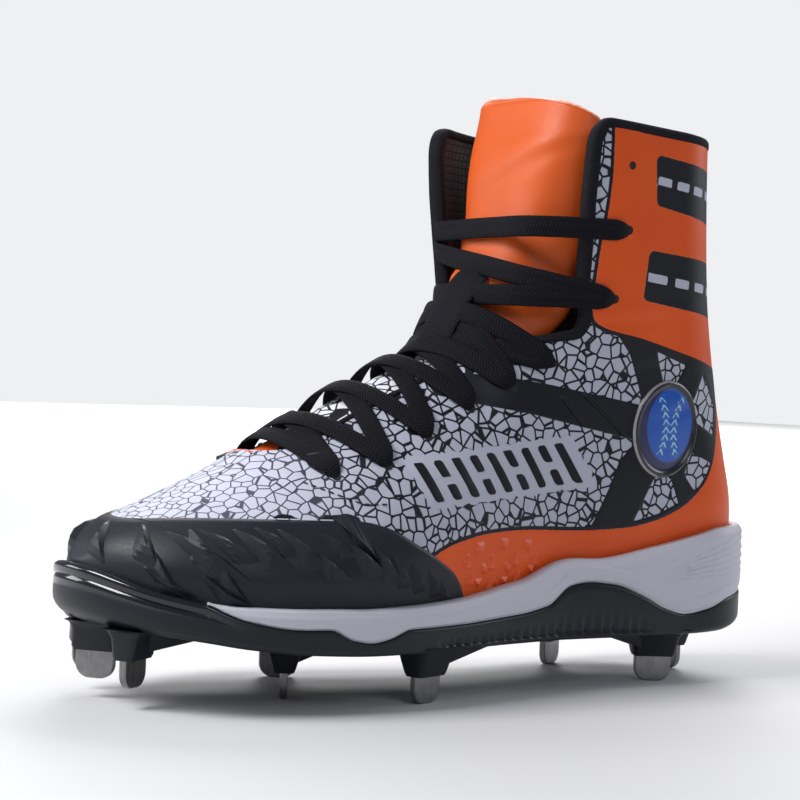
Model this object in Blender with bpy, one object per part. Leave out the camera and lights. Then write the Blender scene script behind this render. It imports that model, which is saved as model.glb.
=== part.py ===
"""High-top baseball cleat, left shoe, empty and standing on its steel studs.

Metres, +Z up, toe towards -Y, heel towards +Y, outer side towards +X.
The upper is a fan of sections: each runs from a point on the bottom or back
of the last, up round the side, to a point on its front or ridge.
"""
import math

import bmesh
import bpy
import numpy as np

# Driving sizes
LENGTH = 0.300
BALL_WIDTH = 0.104
HEEL_WIDTH = 0.076
INSTEP_HEIGHT = 0.127
COLLAR_HEIGHT = 0.2165
STUD_STAND = 0.0195
TOE_SPRING = 0.0075
HEEL_STACK = 0.0275
CUP_DEPTH = 0.015
PLATE = 0.004
RIM_WALL = 0.0045
BUMPER_WALL = 0.003
CUP_LINER = 0.0012
SIDE_GROOVE = 0.0008
UPPER_WALL = 0.0022
COLLAR_WALL = 0.0045
GUARD_GAP = 0.0015
GUARD_WALL = 0.0010
TONGUE_GAP = 0.0016
TONGUE_WALL = 0.0030
TONGUE_PAD = 0.0055
TONGUE_WIDTH = 0.088
INSOLE_WALL = 0.004
KEEPER_WIDTH = 0.012
KEEPER_WALL = 0.0009
LACE_WIDTH = 0.0075
LACE_WALL = 0.0014
THROAT_WIDTH = 0.040
FLAP_CORNER = 0.012
STUD_WIDTH = 0.0145
STUD_WALL = 0.0024
STUD_DROP = 0.0105
TOE_STUD_LIFT = 0.007
GAP = 0.0003

# The sole along its length, from heel 0 to toe 1. Centre is a share of
# BALL_WIDTH, heel and ball of half of each width, spring of TOE_SPRING,
# stack of HEEL_STACK, cup of CUP_DEPTH, roll of PLATE.
SOLE_COLUMNS = ("at", "centre", "heel", "ball", "spring", "stack", "cup", "roll")
SOLE_ROWS = (
    (0.00, -0.013, 1.00, 0.000, 0.70, 0.81, 1.00, 1.2),
    (0.04, -0.013, 1.00, 0.000, 0.22, 0.94, 0.98, 1.1),
    (0.10, -0.013, 1.00, 0.000, 0.00, 1.00, 0.93, 0.9),
    (0.15, -0.013, 1.00, 0.000, 0.00, 0.98, 0.76, 0.5),
    (0.22, -0.007, 0.98, 0.010, 0.00, 0.96, 0.54, 0.4),
    (0.30, 0.007, 0.80, 0.100, 0.00, 0.89, 0.40, 0.4),
    (0.365, 0.017, 0.62, 0.200, 0.00, 0.82, 0.52, 0.4),
    (0.45, 0.027, 0.40, 0.400, 0.00, 0.70, 0.24, 0.4),
    (0.55, 0.027, 0.14, 0.710, 0.00, 0.53, 0.25, 0.4),
    (0.68, 0.017, 0.00, 0.955, 0.03, 0.43, 0.30, 0.4),
    (0.77, -0.005, 0.00, 0.985, 0.17, 0.39, 0.33, 0.4),
    (0.85, -0.013, 0.00, 0.980, 0.46, 0.34, 0.33, 0.6),
    (0.90, -0.019, 0.00, 0.975, 0.72, 0.30, 0.36, 1.0),
    (0.94, -0.028, 0.00, 0.970, 0.86, 0.31, 0.44, 1.5),
    (1.00, -0.063, 0.00, 0.950, 1.00, 0.36, 0.78, 2.6),
)
# Top of the outsole's side, from the plate 0 to the rim 1
WING_COLUMNS = ("at", "rise")
WING_ROWS = (
    (0.000, 0.29),
    (0.080, 0.26),
    (0.125, 0.16),
    (0.165, 0.12),
    (0.200, 0.20),
    (0.243, 0.41),
    (0.290, 0.62),
    (0.325, 0.67),
    (0.360, 0.62),
    (0.400, 0.39),
    (0.490, 0.36),
    (0.640, 0.38),
    (0.675, 0.14),
    (0.700, 0.05),
    (0.725, 0.13),
    (0.755, 0.42),
    (0.800, 0.40),
    (0.857, 0.57),
    (0.880, 0.78),
    (0.900, 1.00),
    (1.000, 1.00),
)
WHITE_END = 0.899
HEEL_CAP = 0.125
TOE_CAP = 0.250
CAP_POWER = 2.05

# Sections of the last. Back is a share of LENGTH from the middle of the
# outline, rise of the back's height, front of LENGTH, instep of the height
# from the toe's edge to the instep, shaft of that from instep to collar.
# Ridge is a share of BALL_WIDTH, belly of the section, crown its power.
LAST_COLUMNS = (
    "back", "rise", "front", "instep", "shaft", "ridge", "belly", "crown",
)
LAST_ROWS = (
    (-0.393, 0.00, -0.500, 0.000, 0.00, -0.063, 0.10, 60.0),
    (-0.368, 0.00, -0.500, 0.065, 0.00, -0.065, 0.15, 36.0),
    (-0.340, 0.00, -0.482, 0.135, 0.00, -0.069, 0.20, 9.0),
    (-0.312, 0.00, -0.466, 0.210, 0.00, -0.073, 0.24, 4.4),
    (-0.282, 0.00, -0.441, 0.278, 0.00, -0.077, 0.26, 3.0),
    (-0.235, 0.00, -0.372, 0.378, 0.00, -0.081, 0.28, 2.3),
    (-0.185, 0.00, -0.300, 0.490, 0.00, -0.083, 0.28, 2.0),
    (-0.130, 0.00, -0.226, 0.638, 0.00, -0.081, 0.28, 1.85),
    (-0.070, 0.00, -0.150, 0.790, 0.00, -0.075, 0.28, 1.8),
    (0.000, 0.00, -0.083, 0.905, 0.00, -0.068, 0.29, 1.85),
    (0.100, 0.00, -0.030, 0.985, 0.00, -0.059, 0.30, 2.0),
    (0.220, 0.00, 0.002, 1.000, 0.11, -0.049, 0.31, 2.3),
    (0.345, 0.00, 0.015, 1.000, 0.20, -0.041, 0.32, 2.6),
    (0.440, 0.00, 0.020, 1.000, 0.28, -0.033, 0.33, 2.9),
    (0.488, 0.00, 0.023, 1.000, 0.36, -0.027, 0.34, 3.1),
    (0.500, 0.00, 0.024, 1.000, 0.43, -0.023, 0.35, 3.3),
    (0.500, 0.15, 0.025, 1.000, 0.52, -0.019, 0.36, 3.5),
    (0.500, 0.34, 0.026, 1.000, 0.64, -0.016, 0.37, 3.7),
    (0.500, 0.56, 0.027, 1.000, 0.77, -0.013, 0.38, 3.9),
    (0.500, 0.78, 0.028, 1.000, 0.90, -0.013, 0.39, 4.0),
    (0.500, 0.965, 0.029, 1.000, 1.00, -0.013, 0.40, 4.0),
)
COLLAR_ROW = 20.0

# The back and the girth above the rim. Height is a share of the way from
# the heel's rim to the collar, lean of LENGTH, rear and fore the widening.
SHAFT_COLUMNS = ("height", "lean", "rear", "fore")
SHAFT_ROWS = (
    (-0.40, 0.000, 0.00, 0.000),
    (0.00, 0.000, 0.00, 0.000),
    (0.07, 0.007, 0.06, 0.045),
    (0.17, 0.023, 0.10, 0.055),
    (0.28, 0.040, 0.13, 0.055),
    (0.40, 0.058, 0.19, 0.055),
    (0.58, 0.080, 0.28, 0.080),
    (0.80, 0.096, 0.38, 0.110),
    (1.00, 0.105, 0.45, 0.120),
    (1.20, 0.110, 0.49, 0.120),
)

# Throat edge over the ankle and shaft, seen from the side. Along is a share
# of LENGTH, height of the way from the floor to the collar.
THROAT_COLUMNS = ("along", "height")
THROAT_ROWS = (
    (-0.200, 0.598),
    (0.020, 0.604),
    (0.090, 0.612),
    (0.133, 0.624),
    (0.139, 0.652),
    (0.129, 0.690),
    (0.122, 0.860),
    (0.124, 1.100),
)
INNER_FLAP_REACH = 0.017
THROAT_START = -0.262
THROAT_ROUND = 0.040

# Top edge of the toe guard, seen from the side, in the throat's shares
GUARD_COLUMNS = ("along", "height")
GUARD_ROWS = (
    (-0.520, 0.272),
    (-0.445, 0.286),
    (-0.330, 0.300),
    (-0.195, 0.305),
    (-0.125, 0.285),
    (-0.095, 0.255),
    (-0.055, 0.170),
    (-0.045, 0.050),
)
GUARD_ROWS_SPAN = (2.0, 8.20)

# Tongue: its reach to each side as a share of TONGUE_WIDTH, at a section of
# the last, and how far it stands back from it, as a share of LENGTH
TONGUE_COLUMNS = ("row", "outer", "inner", "back")
TONGUE_ROWS = (
    (6.80, 0.14, 0.14, 0.000),
    (7.40, 0.34, 0.34, 0.000),
    (9.00, 0.38, 0.38, 0.000),
    (12.0, 0.42, 0.42, 0.000),
    (13.0, 0.46, 0.48, 0.007),
    (14.0, 0.49, 0.53, 0.014),
    (15.0, 0.51, 0.56, 0.021),
    (16.0, 0.52, 0.58, 0.028),
    (17.0, 0.53, 0.59, 0.039),
    (18.0, 0.54, 0.59, 0.047),
    (19.0, 0.54, 0.59, 0.053),
    (20.0, 0.53, 0.58, 0.059),
    (20.5, 0.46, 0.58, 0.062),
    (20.85, 0.34, 0.57, 0.064),
    (21.0, 0.24, 0.51, 0.065),
)
KEEPER_ROWS_SPAN = (10.3, 13.8)

# Laced eyelets seen from the side, along and height, from the toe up, in the
# throat's shares. Over the ankle the lace hangs free of the flaps between
# two distances from the ridge, shares of BALL_WIDTH.
FOOT_EYELETS = (
    (-0.207, 0.376),
    (-0.140, 0.396),
    (-0.077, 0.443),
    (-0.013, 0.487),
    (0.047, 0.527),
    (0.107, 0.573),
)
SHAFT_EYELETS = (
    (0.186, 0.690),
    (0.188, 0.800),
)
LACE_FREE = (0.16, 0.28)

# Studs: along is a share of LENGTH, across of BALL_WIDTH, turn in degrees
STUD_COLUMNS = ("name", "across", "along", "turn", "toe")
STUDS = (
    ("stud_heel_outer", 0.227, 0.318, 64.0, 0.0),
    ("stud_heel_inner", -0.243, 0.280, 116.0, 0.0),
    ("stud_heel_back", -0.023, 0.425, 0.0, 0.0),
    ("stud_ball_outer", 0.357, -0.087, 106.0, 0.0),
    ("stud_ball_inner", -0.303, -0.150, 62.0, 0.0),
    ("stud_middle", 0.107, -0.232, 148.0, 0.0),
    ("stud_toe_outer", 0.112, -0.438, 122.0, 1.0),
    ("stud_toe_middle", -0.113, -0.445, 40.0, 1.0),
    ("stud_toe_inner", -0.278, -0.420, 70.0, 1.0),
)

# Colours, linear, with roughness and metallic values
FINISHES = {
    "upper": ((0.62, 0.13, 0.03), 0.45, 0.0),
    "toe_guard": ((0.02, 0.02, 0.03), 0.6, 0.0),
    "tongue": ((0.75, 0.18, 0.04), 0.5, 0.0),
    "lace": ((0.01, 0.01, 0.015), 0.8, 0.0),
    "insole": ((0.03, 0.03, 0.04), 0.8, 0.0),
    "midsole": ((0.6, 0.6, 0.68), 0.5, 0.0),
    "outsole": ((0.01, 0.01, 0.015), 0.3, 0.0),
    "stud": ((0.35, 0.34, 0.33), 0.35, 1.0),
}

STATIONS = 42
SECTION_SAMPLES = 260
ROW_STEP = 0.5
UPPER_COLUMNS = 11


def table(columns, rows):
    """A table's columns by name, as arrays."""
    return {name: np.array([row[i] for row in rows]) for i, name in enumerate(columns)}


SOLE = table(SOLE_COLUMNS, SOLE_ROWS)
WING = table(WING_COLUMNS, WING_ROWS)
LAST = table(LAST_COLUMNS, LAST_ROWS)
SHAFT = table(SHAFT_COLUMNS, SHAFT_ROWS)
THROAT = table(THROAT_COLUMNS, THROAT_ROWS)
GUARD = table(GUARD_COLUMNS, GUARD_ROWS)
TONGUE = table(TONGUE_COLUMNS, TONGUE_ROWS)


def smooth(knots, values, at):
    """A smooth curve through a column, without overshoot between its rows."""
    at = np.asarray(at, float)
    step = np.diff(knots)
    rate = np.diff(values) / step
    slope = np.zeros(len(knots))
    slope[0] = rate[0]
    slope[-1] = rate[-1]
    same = rate[:-1] * rate[1:] > 0
    before, after = step[:-1], step[1:]
    early, late = 2 * after + before, after + 2 * before
    safe_low = np.where(same, rate[:-1], 1.0)
    safe_high = np.where(same, rate[1:], 1.0)
    blend = (early + late) / (early / safe_low + late / safe_high)
    slope[1:-1] = np.where(same, blend, 0.0)
    i = np.clip(np.searchsorted(knots, at, side="right") - 1, 0, len(step) - 1)
    t = (at - knots[i]) / step[i]
    low, high = values[i], values[i + 1]
    rise = step[i]
    return (
        (2 * t**3 - 3 * t**2 + 1) * low
        + (t**3 - 2 * t**2 + t) * rise * slope[i]
        + (3 * t**2 - 2 * t**3) * high
        + (t**3 - t**2) * rise * slope[i + 1]
    )


def sole(name, at):
    return smooth(SOLE["at"], SOLE[name], at)


def cap(depth, length):
    """Rounding of the outline's end: 0 at the tip, 1 a cap's length in."""
    back = np.clip(1 - depth / length, 0, 1)
    return (1 - back**CAP_POWER) ** (1 / CAP_POWER)


def under_z(at):
    return STUD_STAND + TOE_SPRING * sole("spring", at)


def foot_z(at):
    return under_z(at) + HEEL_STACK * sole("stack", at)


def rim_z(at):
    return foot_z(at) + CUP_DEPTH * sole("cup", at)


def plate_z(at):
    return under_z(at) + PLATE


def wing_z(at):
    rise = smooth(WING["at"], WING["rise"], at)
    return plate_z(at) + rise * (rim_z(at) - plate_z(at))


def outline(at):
    """Outer and inner edge of the sole at a share of its length."""
    at = np.asarray(at, float)
    half = (HEEL_WIDTH * sole("heel", at) + BALL_WIDTH * sole("ball", at)) / 2
    half = half * cap(at, HEEL_CAP) * cap(1 - at, TOE_CAP)
    centre = BALL_WIDTH * sole("centre", at)
    return centre + half, centre - half


def loop_points(count):
    """The outline as a closed loop: heel tip, outer side, toe tip, inner side."""
    fine = (1 - np.cos(np.linspace(0, math.pi, DENSE))) / 2
    side = np.column_stack([outline(fine)[0], fine * LENGTH])
    run = np.cumsum(np.linalg.norm(np.diff(side, axis=0), axis=1))
    at = np.interp(np.linspace(0, run[-1], count + 1), np.append(0, run), fine)
    outer, inner = outline(at)
    y = (0.5 - at) * LENGTH
    side_out = np.column_stack([outer, y])
    side_in = np.column_stack([inner, y])[-2:0:-1]
    return np.vstack([side_out, side_in]), np.concatenate([at, at[-2:0:-1]])


def outward(loop):
    """Unit normals of a loop that runs clockwise seen from above."""
    along = np.roll(loop, -1, axis=0) - np.roll(loop, 1, axis=0)
    normal = np.column_stack([-along[:, 1], along[:, 0]])
    return normal / np.linalg.norm(normal, axis=1)[:, None]


DENSE = 600
LOOP, LOOP_AT = loop_points(STATIONS)
LOOP_NORMAL = outward(LOOP)


def ring(inset, height):
    """The outline moved in by an inset, at a height."""
    inset = np.broadcast_to(inset, LOOP_AT.shape)
    flat = LOOP - LOOP_NORMAL * inset[:, None]
    return np.column_stack([flat, np.broadcast_to(height, LOOP_AT.shape)])


def ring_solid(name, rings, finish):
    """A closed solid through a stack of rings, capped across both ends."""
    count = 2 * STATIONS
    points = np.vstack(rings)
    faces = []
    for level in range(len(rings) - 1):
        base = level * count
        for i in range(count):
            j = (i + 1) % count
            faces.append((base + i, base + j, base + count + j, base + count + i))
    for base in (0, (len(rings) - 1) * count):
        for i in range(STATIONS):
            left = (count - i) % count
            right = (count - i - 1) % count
            faces.append((base + i, base + i + 1, base + right, base + left))
    return solid(name, points, faces, finish)


def solid(name, points, faces, finish):
    """One closed object, its doubled points joined and its faces outwards."""
    mesh = bpy.data.meshes.new(name)
    mesh.from_pydata([tuple(p) for p in points], [], [tidy(f) for f in faces])
    shape = bmesh.new()
    shape.from_mesh(mesh)
    bmesh.ops.remove_doubles(shape, verts=shape.verts, dist=2e-6)
    bmesh.ops.dissolve_degenerate(shape, edges=shape.edges, dist=1e-6)
    bmesh.ops.recalc_face_normals(shape, faces=shape.faces)
    if shape.calc_volume(signed=True) < 0:
        bmesh.ops.reverse_faces(shape, faces=shape.faces)
    bmesh.ops.triangulate(shape, faces=[f for f in shape.faces if len(f.verts) > 4])
    shape.to_mesh(mesh)
    shape.free()
    mesh.shade_smooth()
    mesh.set_sharp_from_angle(angle=math.radians(40))
    made = bpy.data.objects.new(name, mesh)
    bpy.context.scene.collection.objects.link(made)
    mesh.materials.append(finish)
    return made


def tidy(face):
    """A face without repeated corners."""
    return tuple(dict.fromkeys(int(i) for i in face))


def material(name):
    colour, roughness, metallic = FINISHES[name]
    made = bpy.data.materials.new(name)
    made.use_nodes = True
    shader = made.node_tree.nodes["Principled BSDF"]
    shader.inputs["Base Color"].default_value = (*colour, 1)
    shader.inputs["Roughness"].default_value = roughness
    shader.inputs["Metallic"].default_value = metallic
    return made


# The last: the closed form that upper, guard, tongue and laces follow
UPPER_INSET = RIM_WALL + GAP * 2.5


def lasted_edges():
    """Outer and inner edge of the upper's base against y, and its two tips."""
    turn = np.linspace(0, math.pi, DENSE)
    at = (1 - np.cos(turn)) / 2
    outer, inner = outline(at)
    y = (0.5 - at) * LENGTH
    loop = np.vstack([
        np.column_stack([outer, y]),
        np.column_stack([inner, y])[-2:0:-1],
    ])
    moved = loop - outward(loop) * UPPER_INSET
    right = moved[:DENSE][::-1]
    left = np.vstack([moved[DENSE - 1:], moved[:1]])
    return right, left


RIGHT_EDGE, LEFT_EDGE = lasted_edges()
TOE_TIP = RIGHT_EDGE[0, 1]
HEEL_TIP = RIGHT_EDGE[-1, 1]
FOOT_TOE = float(foot_z(1.0)) + GAP
FOOT_HEEL = float(foot_z(0.0)) + GAP
RIM_HEEL = float(rim_z(0.0))


def base_centre_half(y):
    right = np.interp(y, RIGHT_EDGE[:, 1], RIGHT_EDGE[:, 0])
    left = np.interp(y, LEFT_EDGE[:, 1], LEFT_EDGE[:, 0])
    return (right + left) / 2, (right - left) / 2


def above_rim(y, z):
    """How far up from the rim to the collar a point is, 0 at the rim."""
    rim = rim_z(np.clip(0.5 - y / LENGTH, 0, 1))
    return (z - rim) / (COLLAR_HEIGHT - RIM_HEEL)


def lean(z):
    height = (z - RIM_HEEL) / (COLLAR_HEIGHT - RIM_HEEL)
    return LENGTH * smooth(SHAFT["height"], SHAFT["lean"], height)


def fan_line(row):
    """Back and front end of a section, in the side view, and its shape."""
    value = {
        name: float(smooth(np.arange(len(LAST_ROWS)), LAST[name], row))
        for name in LAST_COLUMNS
    }
    # Between two knots at the heel's tip the curve must not pass it
    y = min(value["back"], 0.5) * (HEEL_TIP - TOE_TIP) + (HEEL_TIP + TOE_TIP) / 2
    at = min(max(0.5 - y / LENGTH, 0.0), 1.0)
    z = float(foot_z(at)) + GAP
    if value["rise"] > 0:
        z = FOOT_HEEL + value["rise"] * (COLLAR_HEIGHT - FOOT_HEEL)
        y = HEEL_TIP - float(lean(z))
    front_y = max(value["front"] * LENGTH, TOE_TIP)
    front_z = (
        FOOT_TOE
        + value["instep"] * (INSTEP_HEIGHT - FOOT_TOE)
        + value["shaft"] * (COLLAR_HEIGHT - INSTEP_HEIGHT)
    )
    return np.array([y, z]), np.array([front_y, front_z]), value


def section(row, side):
    """Points of one half section from the ridge down, with their distances."""
    back, front, value = fan_line(row)
    turn = np.linspace(0, math.pi, SECTION_SAMPLES)
    down = (1 - np.cos(turn)) / 2
    y = front[0] + (back[0] - front[0]) * down
    z = front[1] + (back[1] - front[1]) * down
    shifted = np.clip(y + lean(z), TOE_TIP, HEEL_TIP)
    centre, half = base_centre_half(shifted)
    level = np.clip(above_rim(np.clip(shifted, TOE_TIP, HEEL_TIP), z), -0.3, 1.2)
    rear = smooth(SHAFT["height"], SHAFT["rear"], level)
    fore = smooth(SHAFT["height"], SHAFT["fore"], level)
    share = np.clip((y / LENGTH + 0.22) / 0.36, 0, 1)
    share = share * share * (3 - 2 * share)
    half = half * (1 + fore + (rear - fore) * share)
    past = np.clip((1 - down - value["belly"]) / (1 - value["belly"]), 0, 1)
    crown = (1 - past ** value["crown"]) ** (1 / value["crown"])
    ridge = BALL_WIDTH * value["ridge"]
    x = centre * crown + ridge * (1 - crown) + side * half * crown
    points = np.column_stack([x, y, z])
    steps = np.linalg.norm(np.diff(points, axis=0), axis=1)
    return points, np.concatenate([[0], np.cumsum(steps)])


SECTIONS = {}


def dense_section(row, side):
    key = (round(float(row), 6), side)
    if key not in SECTIONS:
        SECTIONS[key] = section(*key)
    return SECTIONS[key]


def on_section(row, side, distance):
    points, run = dense_section(row, side)
    return np.column_stack([np.interp(distance, run, points[:, i]) for i in range(3)])


def spot(row, across):
    """A point of the last, at a signed distance from its ridge."""
    side = 1 if across >= 0 else -1
    return on_section(row, side, [abs(across)])[0]


def spot_normal(row, across):
    step, reach = 0.03, 0.0008
    up = spot(row + step, across) - spot(row - step, across)
    over = spot(row, across + reach) - spot(row, across - reach)
    normal = np.cross(over, up)
    normal = normal / np.linalg.norm(normal)
    inside = np.array([0.0, spot(row, 0.0)[1] + LENGTH / 5, spot(row, 0.0)[2] / 2])
    if np.dot(normal, spot(row, across) - inside) < 0:
        normal = -normal
    return normal


def crossing(points, run, line_y, line_z):
    """Distance at which a section first passes a line in the side view."""
    height = np.interp(points[:, 1], line_y, line_z)
    over = points[:, 2] - height
    hits = np.nonzero(np.diff(np.sign(over)))[0]
    if len(hits) == 0:
        return None
    i = hits[-1]
    share = over[i] / (over[i] - over[i + 1])
    return run[i] + share * (run[i + 1] - run[i])


def throat_distance(row, side):
    """Distance from the ridge to the throat's edge on one section."""
    points, run = dense_section(row, side)
    front = points[0]
    start = THROAT_START * LENGTH
    deep = np.clip((front[1] - start) / (THROAT_ROUND * LENGTH), 0, 1)
    gap = THROAT_WIDTH / 2 * math.sqrt(1 - (1 - deep) ** 2)
    edge = float(run[np.argmax(np.abs(points[:, 0] - front[0]) >= gap)])
    line_y = THROAT["along"] * LENGTH
    line_z = THROAT["height"] * COLLAR_HEIGHT
    # Past the notch the edge stands upright, so it is met by y
    fence = np.interp(points[:, 2], line_z[1:], line_y[1:])
    if side < 0:
        fence = fence - INNER_FLAP_REACH
    corner = np.clip((points[:, 2] - COLLAR_HEIGHT + FLAP_CORNER) / FLAP_CORNER, 0, 1)
    fence = fence + FLAP_CORNER * (1 - np.sqrt(1 - corner**2))
    high = points[:, 2] > line_z[1]
    outside = high & (points[:, 1] < fence)
    if outside.any():
        edge = max(edge, float(run[np.nonzero(outside)[0][-1]]))
    return edge


def sheet(rows, start, finish, columns):
    """Both halves of a skin of the last, between two distances on each row."""
    points, faces, marks = [], [], []
    for side in (1, -1):
        first = len(points)
        for row in rows:
            near, far = start(row, side), finish(row, side)
            share = np.linspace(0, 1, columns)
            points.extend(on_section(row, side, near + (far - near) * share))
            marks.extend([row] * columns)
        for i in range(len(rows) - 1):
            for j in range(columns - 1):
                a = first + i * columns + j
                quad = (a, a + 1, a + columns + 1, a + columns)
                faces.append(quad if side > 0 else quad[::-1])
    return merged(np.array(points), faces, np.array(marks))


def merged(points, faces, marks):
    """A skin with its shared centre points joined."""
    keys, kept, index = {}, [], []
    for i, point in enumerate(points):
        key = tuple(np.round(point * 2e5).astype(int))
        if key not in keys:
            keys[key] = len(kept)
            kept.append(i)
        index.append(keys[key])
    clean = []
    for face in faces:
        corners = tidy([index[i] for i in face])
        if len(corners) > 2:
            clean.append(corners)
    return points[kept], clean, marks[kept]


def skin_normals(points, faces):
    normal = np.zeros_like(points)
    for face in faces:
        corner = points[list(face)]
        turn = np.cross(corner[1] - corner[0], corner[-1] - corner[0])
        if len(face) == 4:
            turn = turn + np.cross(corner[3] - corner[2], corner[1] - corner[2])
        normal[list(face)] += turn
    length = np.linalg.norm(normal, axis=1)
    return normal / np.maximum(length, 1e-12)[:, None]


def thicken(name, skin, low, high, finish):
    """A solid between two offsets of a skin, low and high per point."""
    points, faces, marks = skin
    normal = skin_normals(points, faces)
    middle = np.array([0.0, points[:, 1].mean(), 0.05])
    if np.sum((points - middle) * normal) < 0:
        normal = -normal
    count = len(points)
    low = np.broadcast_to(low, (count,))
    high = np.broadcast_to(high, (count,))
    both = np.vstack([points + normal * low[:, None], points + normal * high[:, None]])
    walls = [tuple(i + count for i in face) for face in faces]
    walls += [face[::-1] for face in faces]
    seen = {}
    for face in faces:
        for a, b in zip(face, face[1:] + face[:1]):
            seen[(a, b)] = True
    for a, b in seen:
        if (b, a) not in seen:
            walls.append((a, b, b + count, a + count))
    return solid(name, both, walls, finish)


def wall_at(z):
    """Wall of the upper at a height: thin over the foot, padded at the collar."""
    share = np.clip((z / COLLAR_HEIGHT - 0.5) / 0.25, 0, 1)
    return UPPER_WALL + (COLLAR_WALL - UPPER_WALL) * share * share * (3 - 2 * share)


def build_upper(finish):
    rows = np.arange(0, COLLAR_ROW + 0.01, ROW_STEP)
    rows = np.sort(np.concatenate([rows, [6.75, 11.75, 19.75]]))

    def far(row, side):
        return dense_section(row, side)[1][-1]

    skin = sheet(rows, throat_distance, far, UPPER_COLUMNS)
    return thicken("upper", skin, -wall_at(skin[0][:, 2]), 0.0, finish)


def guard_start(row, side):
    points, run = dense_section(row, side)
    line_y = GUARD["along"] * LENGTH
    line_z = GUARD["height"] * COLLAR_HEIGHT
    if points[0, 2] < np.interp(points[0, 1], line_y, line_z):
        return 0.0
    found = crossing(points, run, line_y, line_z)
    return guard_finish(row, side) if found is None else float(found)


def guard_finish(row, side):
    """Where a section goes down behind the sole's rim."""
    points, run = dense_section(row, side)
    rim = rim_z(np.clip(0.5 - points[:, 1] / LENGTH, 0, 1)) + 4 * GAP
    below = np.nonzero(points[:, 2] < rim)[0]
    return float(run[below[0]]) if len(below) else float(run[-1])


def build_guard(finish):
    first, last = GUARD_ROWS_SPAN
    tip = np.arange(first + ROW_STEP / 2, first + 3, ROW_STEP)
    rows = np.sort(np.concatenate([np.arange(first, last, ROW_STEP), tip, [last]]))
    skin = sheet(rows, guard_start, guard_finish, 6)
    return thicken("toe_guard", skin, GUARD_GAP, GUARD_GAP + GUARD_WALL, finish)


def tongue_base(rows, edge, columns):
    """A skin where the tongue lies: under the upper, and set back above it."""
    points, faces, marks = sheet(rows, lambda row, side: 0.0, edge, columns)
    points[:, 1] += set_back(marks)
    return points, faces, marks


def set_back(row):
    return LENGTH * smooth(TONGUE["row"], TONGUE["back"], row)


def build_tongue(finish):
    top = COLLAR_ROW + 1
    rows = np.concatenate([np.linspace(6.8, COLLAR_ROW, 17), [20.35, 20.7, 20.9, top]])

    def edge(row, side):
        name = "outer" if side > 0 else "inner"
        return TONGUE_WIDTH * float(smooth(TONGUE["row"], TONGUE[name], row))

    skin = tongue_base(rows, edge, 6)
    share = np.clip((skin[2] - 11) / 3, 0, 1)
    thick = TONGUE_WALL + (TONGUE_PAD - TONGUE_WALL) * share
    outer = -(wall_at(skin[0][:, 2]) + TONGUE_GAP)
    return thicken("tongue", skin, outer - thick, outer, finish)


def build_keeper(finish):
    rows = np.linspace(*KEEPER_ROWS_SPAN, 9)
    skin = tongue_base(rows, lambda row, side: KEEPER_WIDTH / 2, 3)
    base = 3 * GAP - wall_at(skin[0][:, 2]) - TONGUE_GAP
    return thicken("lace_keeper", skin, base, base + KEEPER_WALL, finish)


def slack(row, across):
    """How far a lace hangs in towards the tongue between the shaft's flaps."""
    low, high = LACE_FREE
    share = np.clip((high - abs(across) / BALL_WIDTH) / (high - low), 0, 1)
    share = share * share * (3 - 2 * share) * np.clip(row - 12, 0, 1)
    wall = wall_at(spot(row, across)[2])
    depth = set_back(row) + wall + TONGUE_GAP - KEEPER_WALL - 5 * GAP
    return float(share * depth)


def row_at_height(z, across):
    """The section that reaches a height at a distance from the ridge."""
    low, high = 0.0, COLLAR_ROW
    for _ in range(24):
        middle = (low + high) / 2
        low, high = (middle, high) if spot(middle, across)[2] < z else (low, middle)
    return (low + high) / 2


def band(name, start, end, lift, finish):
    """A flat lace from one row and distance to another, level on the shaft."""
    steps = 15 if max(start[0], end[0]) > 13 else 7
    share = np.linspace(0, 1, steps + 1)
    path, normals = [], []
    ends = [spot(*start)[2], spot(*end)[2]]
    level = float(np.clip(max(start[0], end[0]) - 12, 0, 1))
    for t in share:
        row = start[0] + (end[0] - start[0]) * t
        across = start[1] + (end[1] - start[1]) * t
        row += level * (row_at_height(ends[0] + (ends[1] - ends[0]) * t, across) - row)
        normal = spot_normal(row, across)
        sunk = np.array([0.0, slack(row, across), 0.0])
        path.append(spot(row, across) + sunk + normal * lift)
        normals.append(normal)
    path, normals = np.array(path), np.array(normals)
    along = np.gradient(path, axis=0)
    along = along / np.linalg.norm(along, axis=1)[:, None]
    over = np.cross(normals, along)
    over = over / np.linalg.norm(over, axis=1)[:, None]
    half = over * LACE_WIDTH / 2
    rise = normals * LACE_WALL
    points = np.vstack([path - half, path + half, path + half + rise, path - half + rise])
    count = steps + 1
    faces = []
    for i in range(steps):
        for k in range(4):
            n = (k + 1) % 4
            faces.append((k * count + i, k * count + i + 1, n * count + i + 1, n * count + i))
    faces.append((0, count, 2 * count, 3 * count))
    faces.append((steps, count + steps, 2 * count + steps, 3 * count + steps))
    return solid(name, points, faces, finish)


def join_all(name, pieces):
    """One closed body from overlapping ones."""
    body = pieces[0]
    for piece in pieces[1:]:
        union = body.modifiers.new("join", "BOOLEAN")
        union.operation = "UNION"
        union.solver = "EXACT"
        union.object = piece
    bpy.context.view_layer.update()
    graph = bpy.context.evaluated_depsgraph_get()
    mesh = bpy.data.meshes.new_from_object(body.evaluated_get(graph))
    for piece in pieces:
        bpy.data.objects.remove(piece)
    drop_pockets(mesh)
    made = bpy.data.objects.new(name, mesh)
    bpy.context.scene.collection.objects.link(made)
    return made


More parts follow.
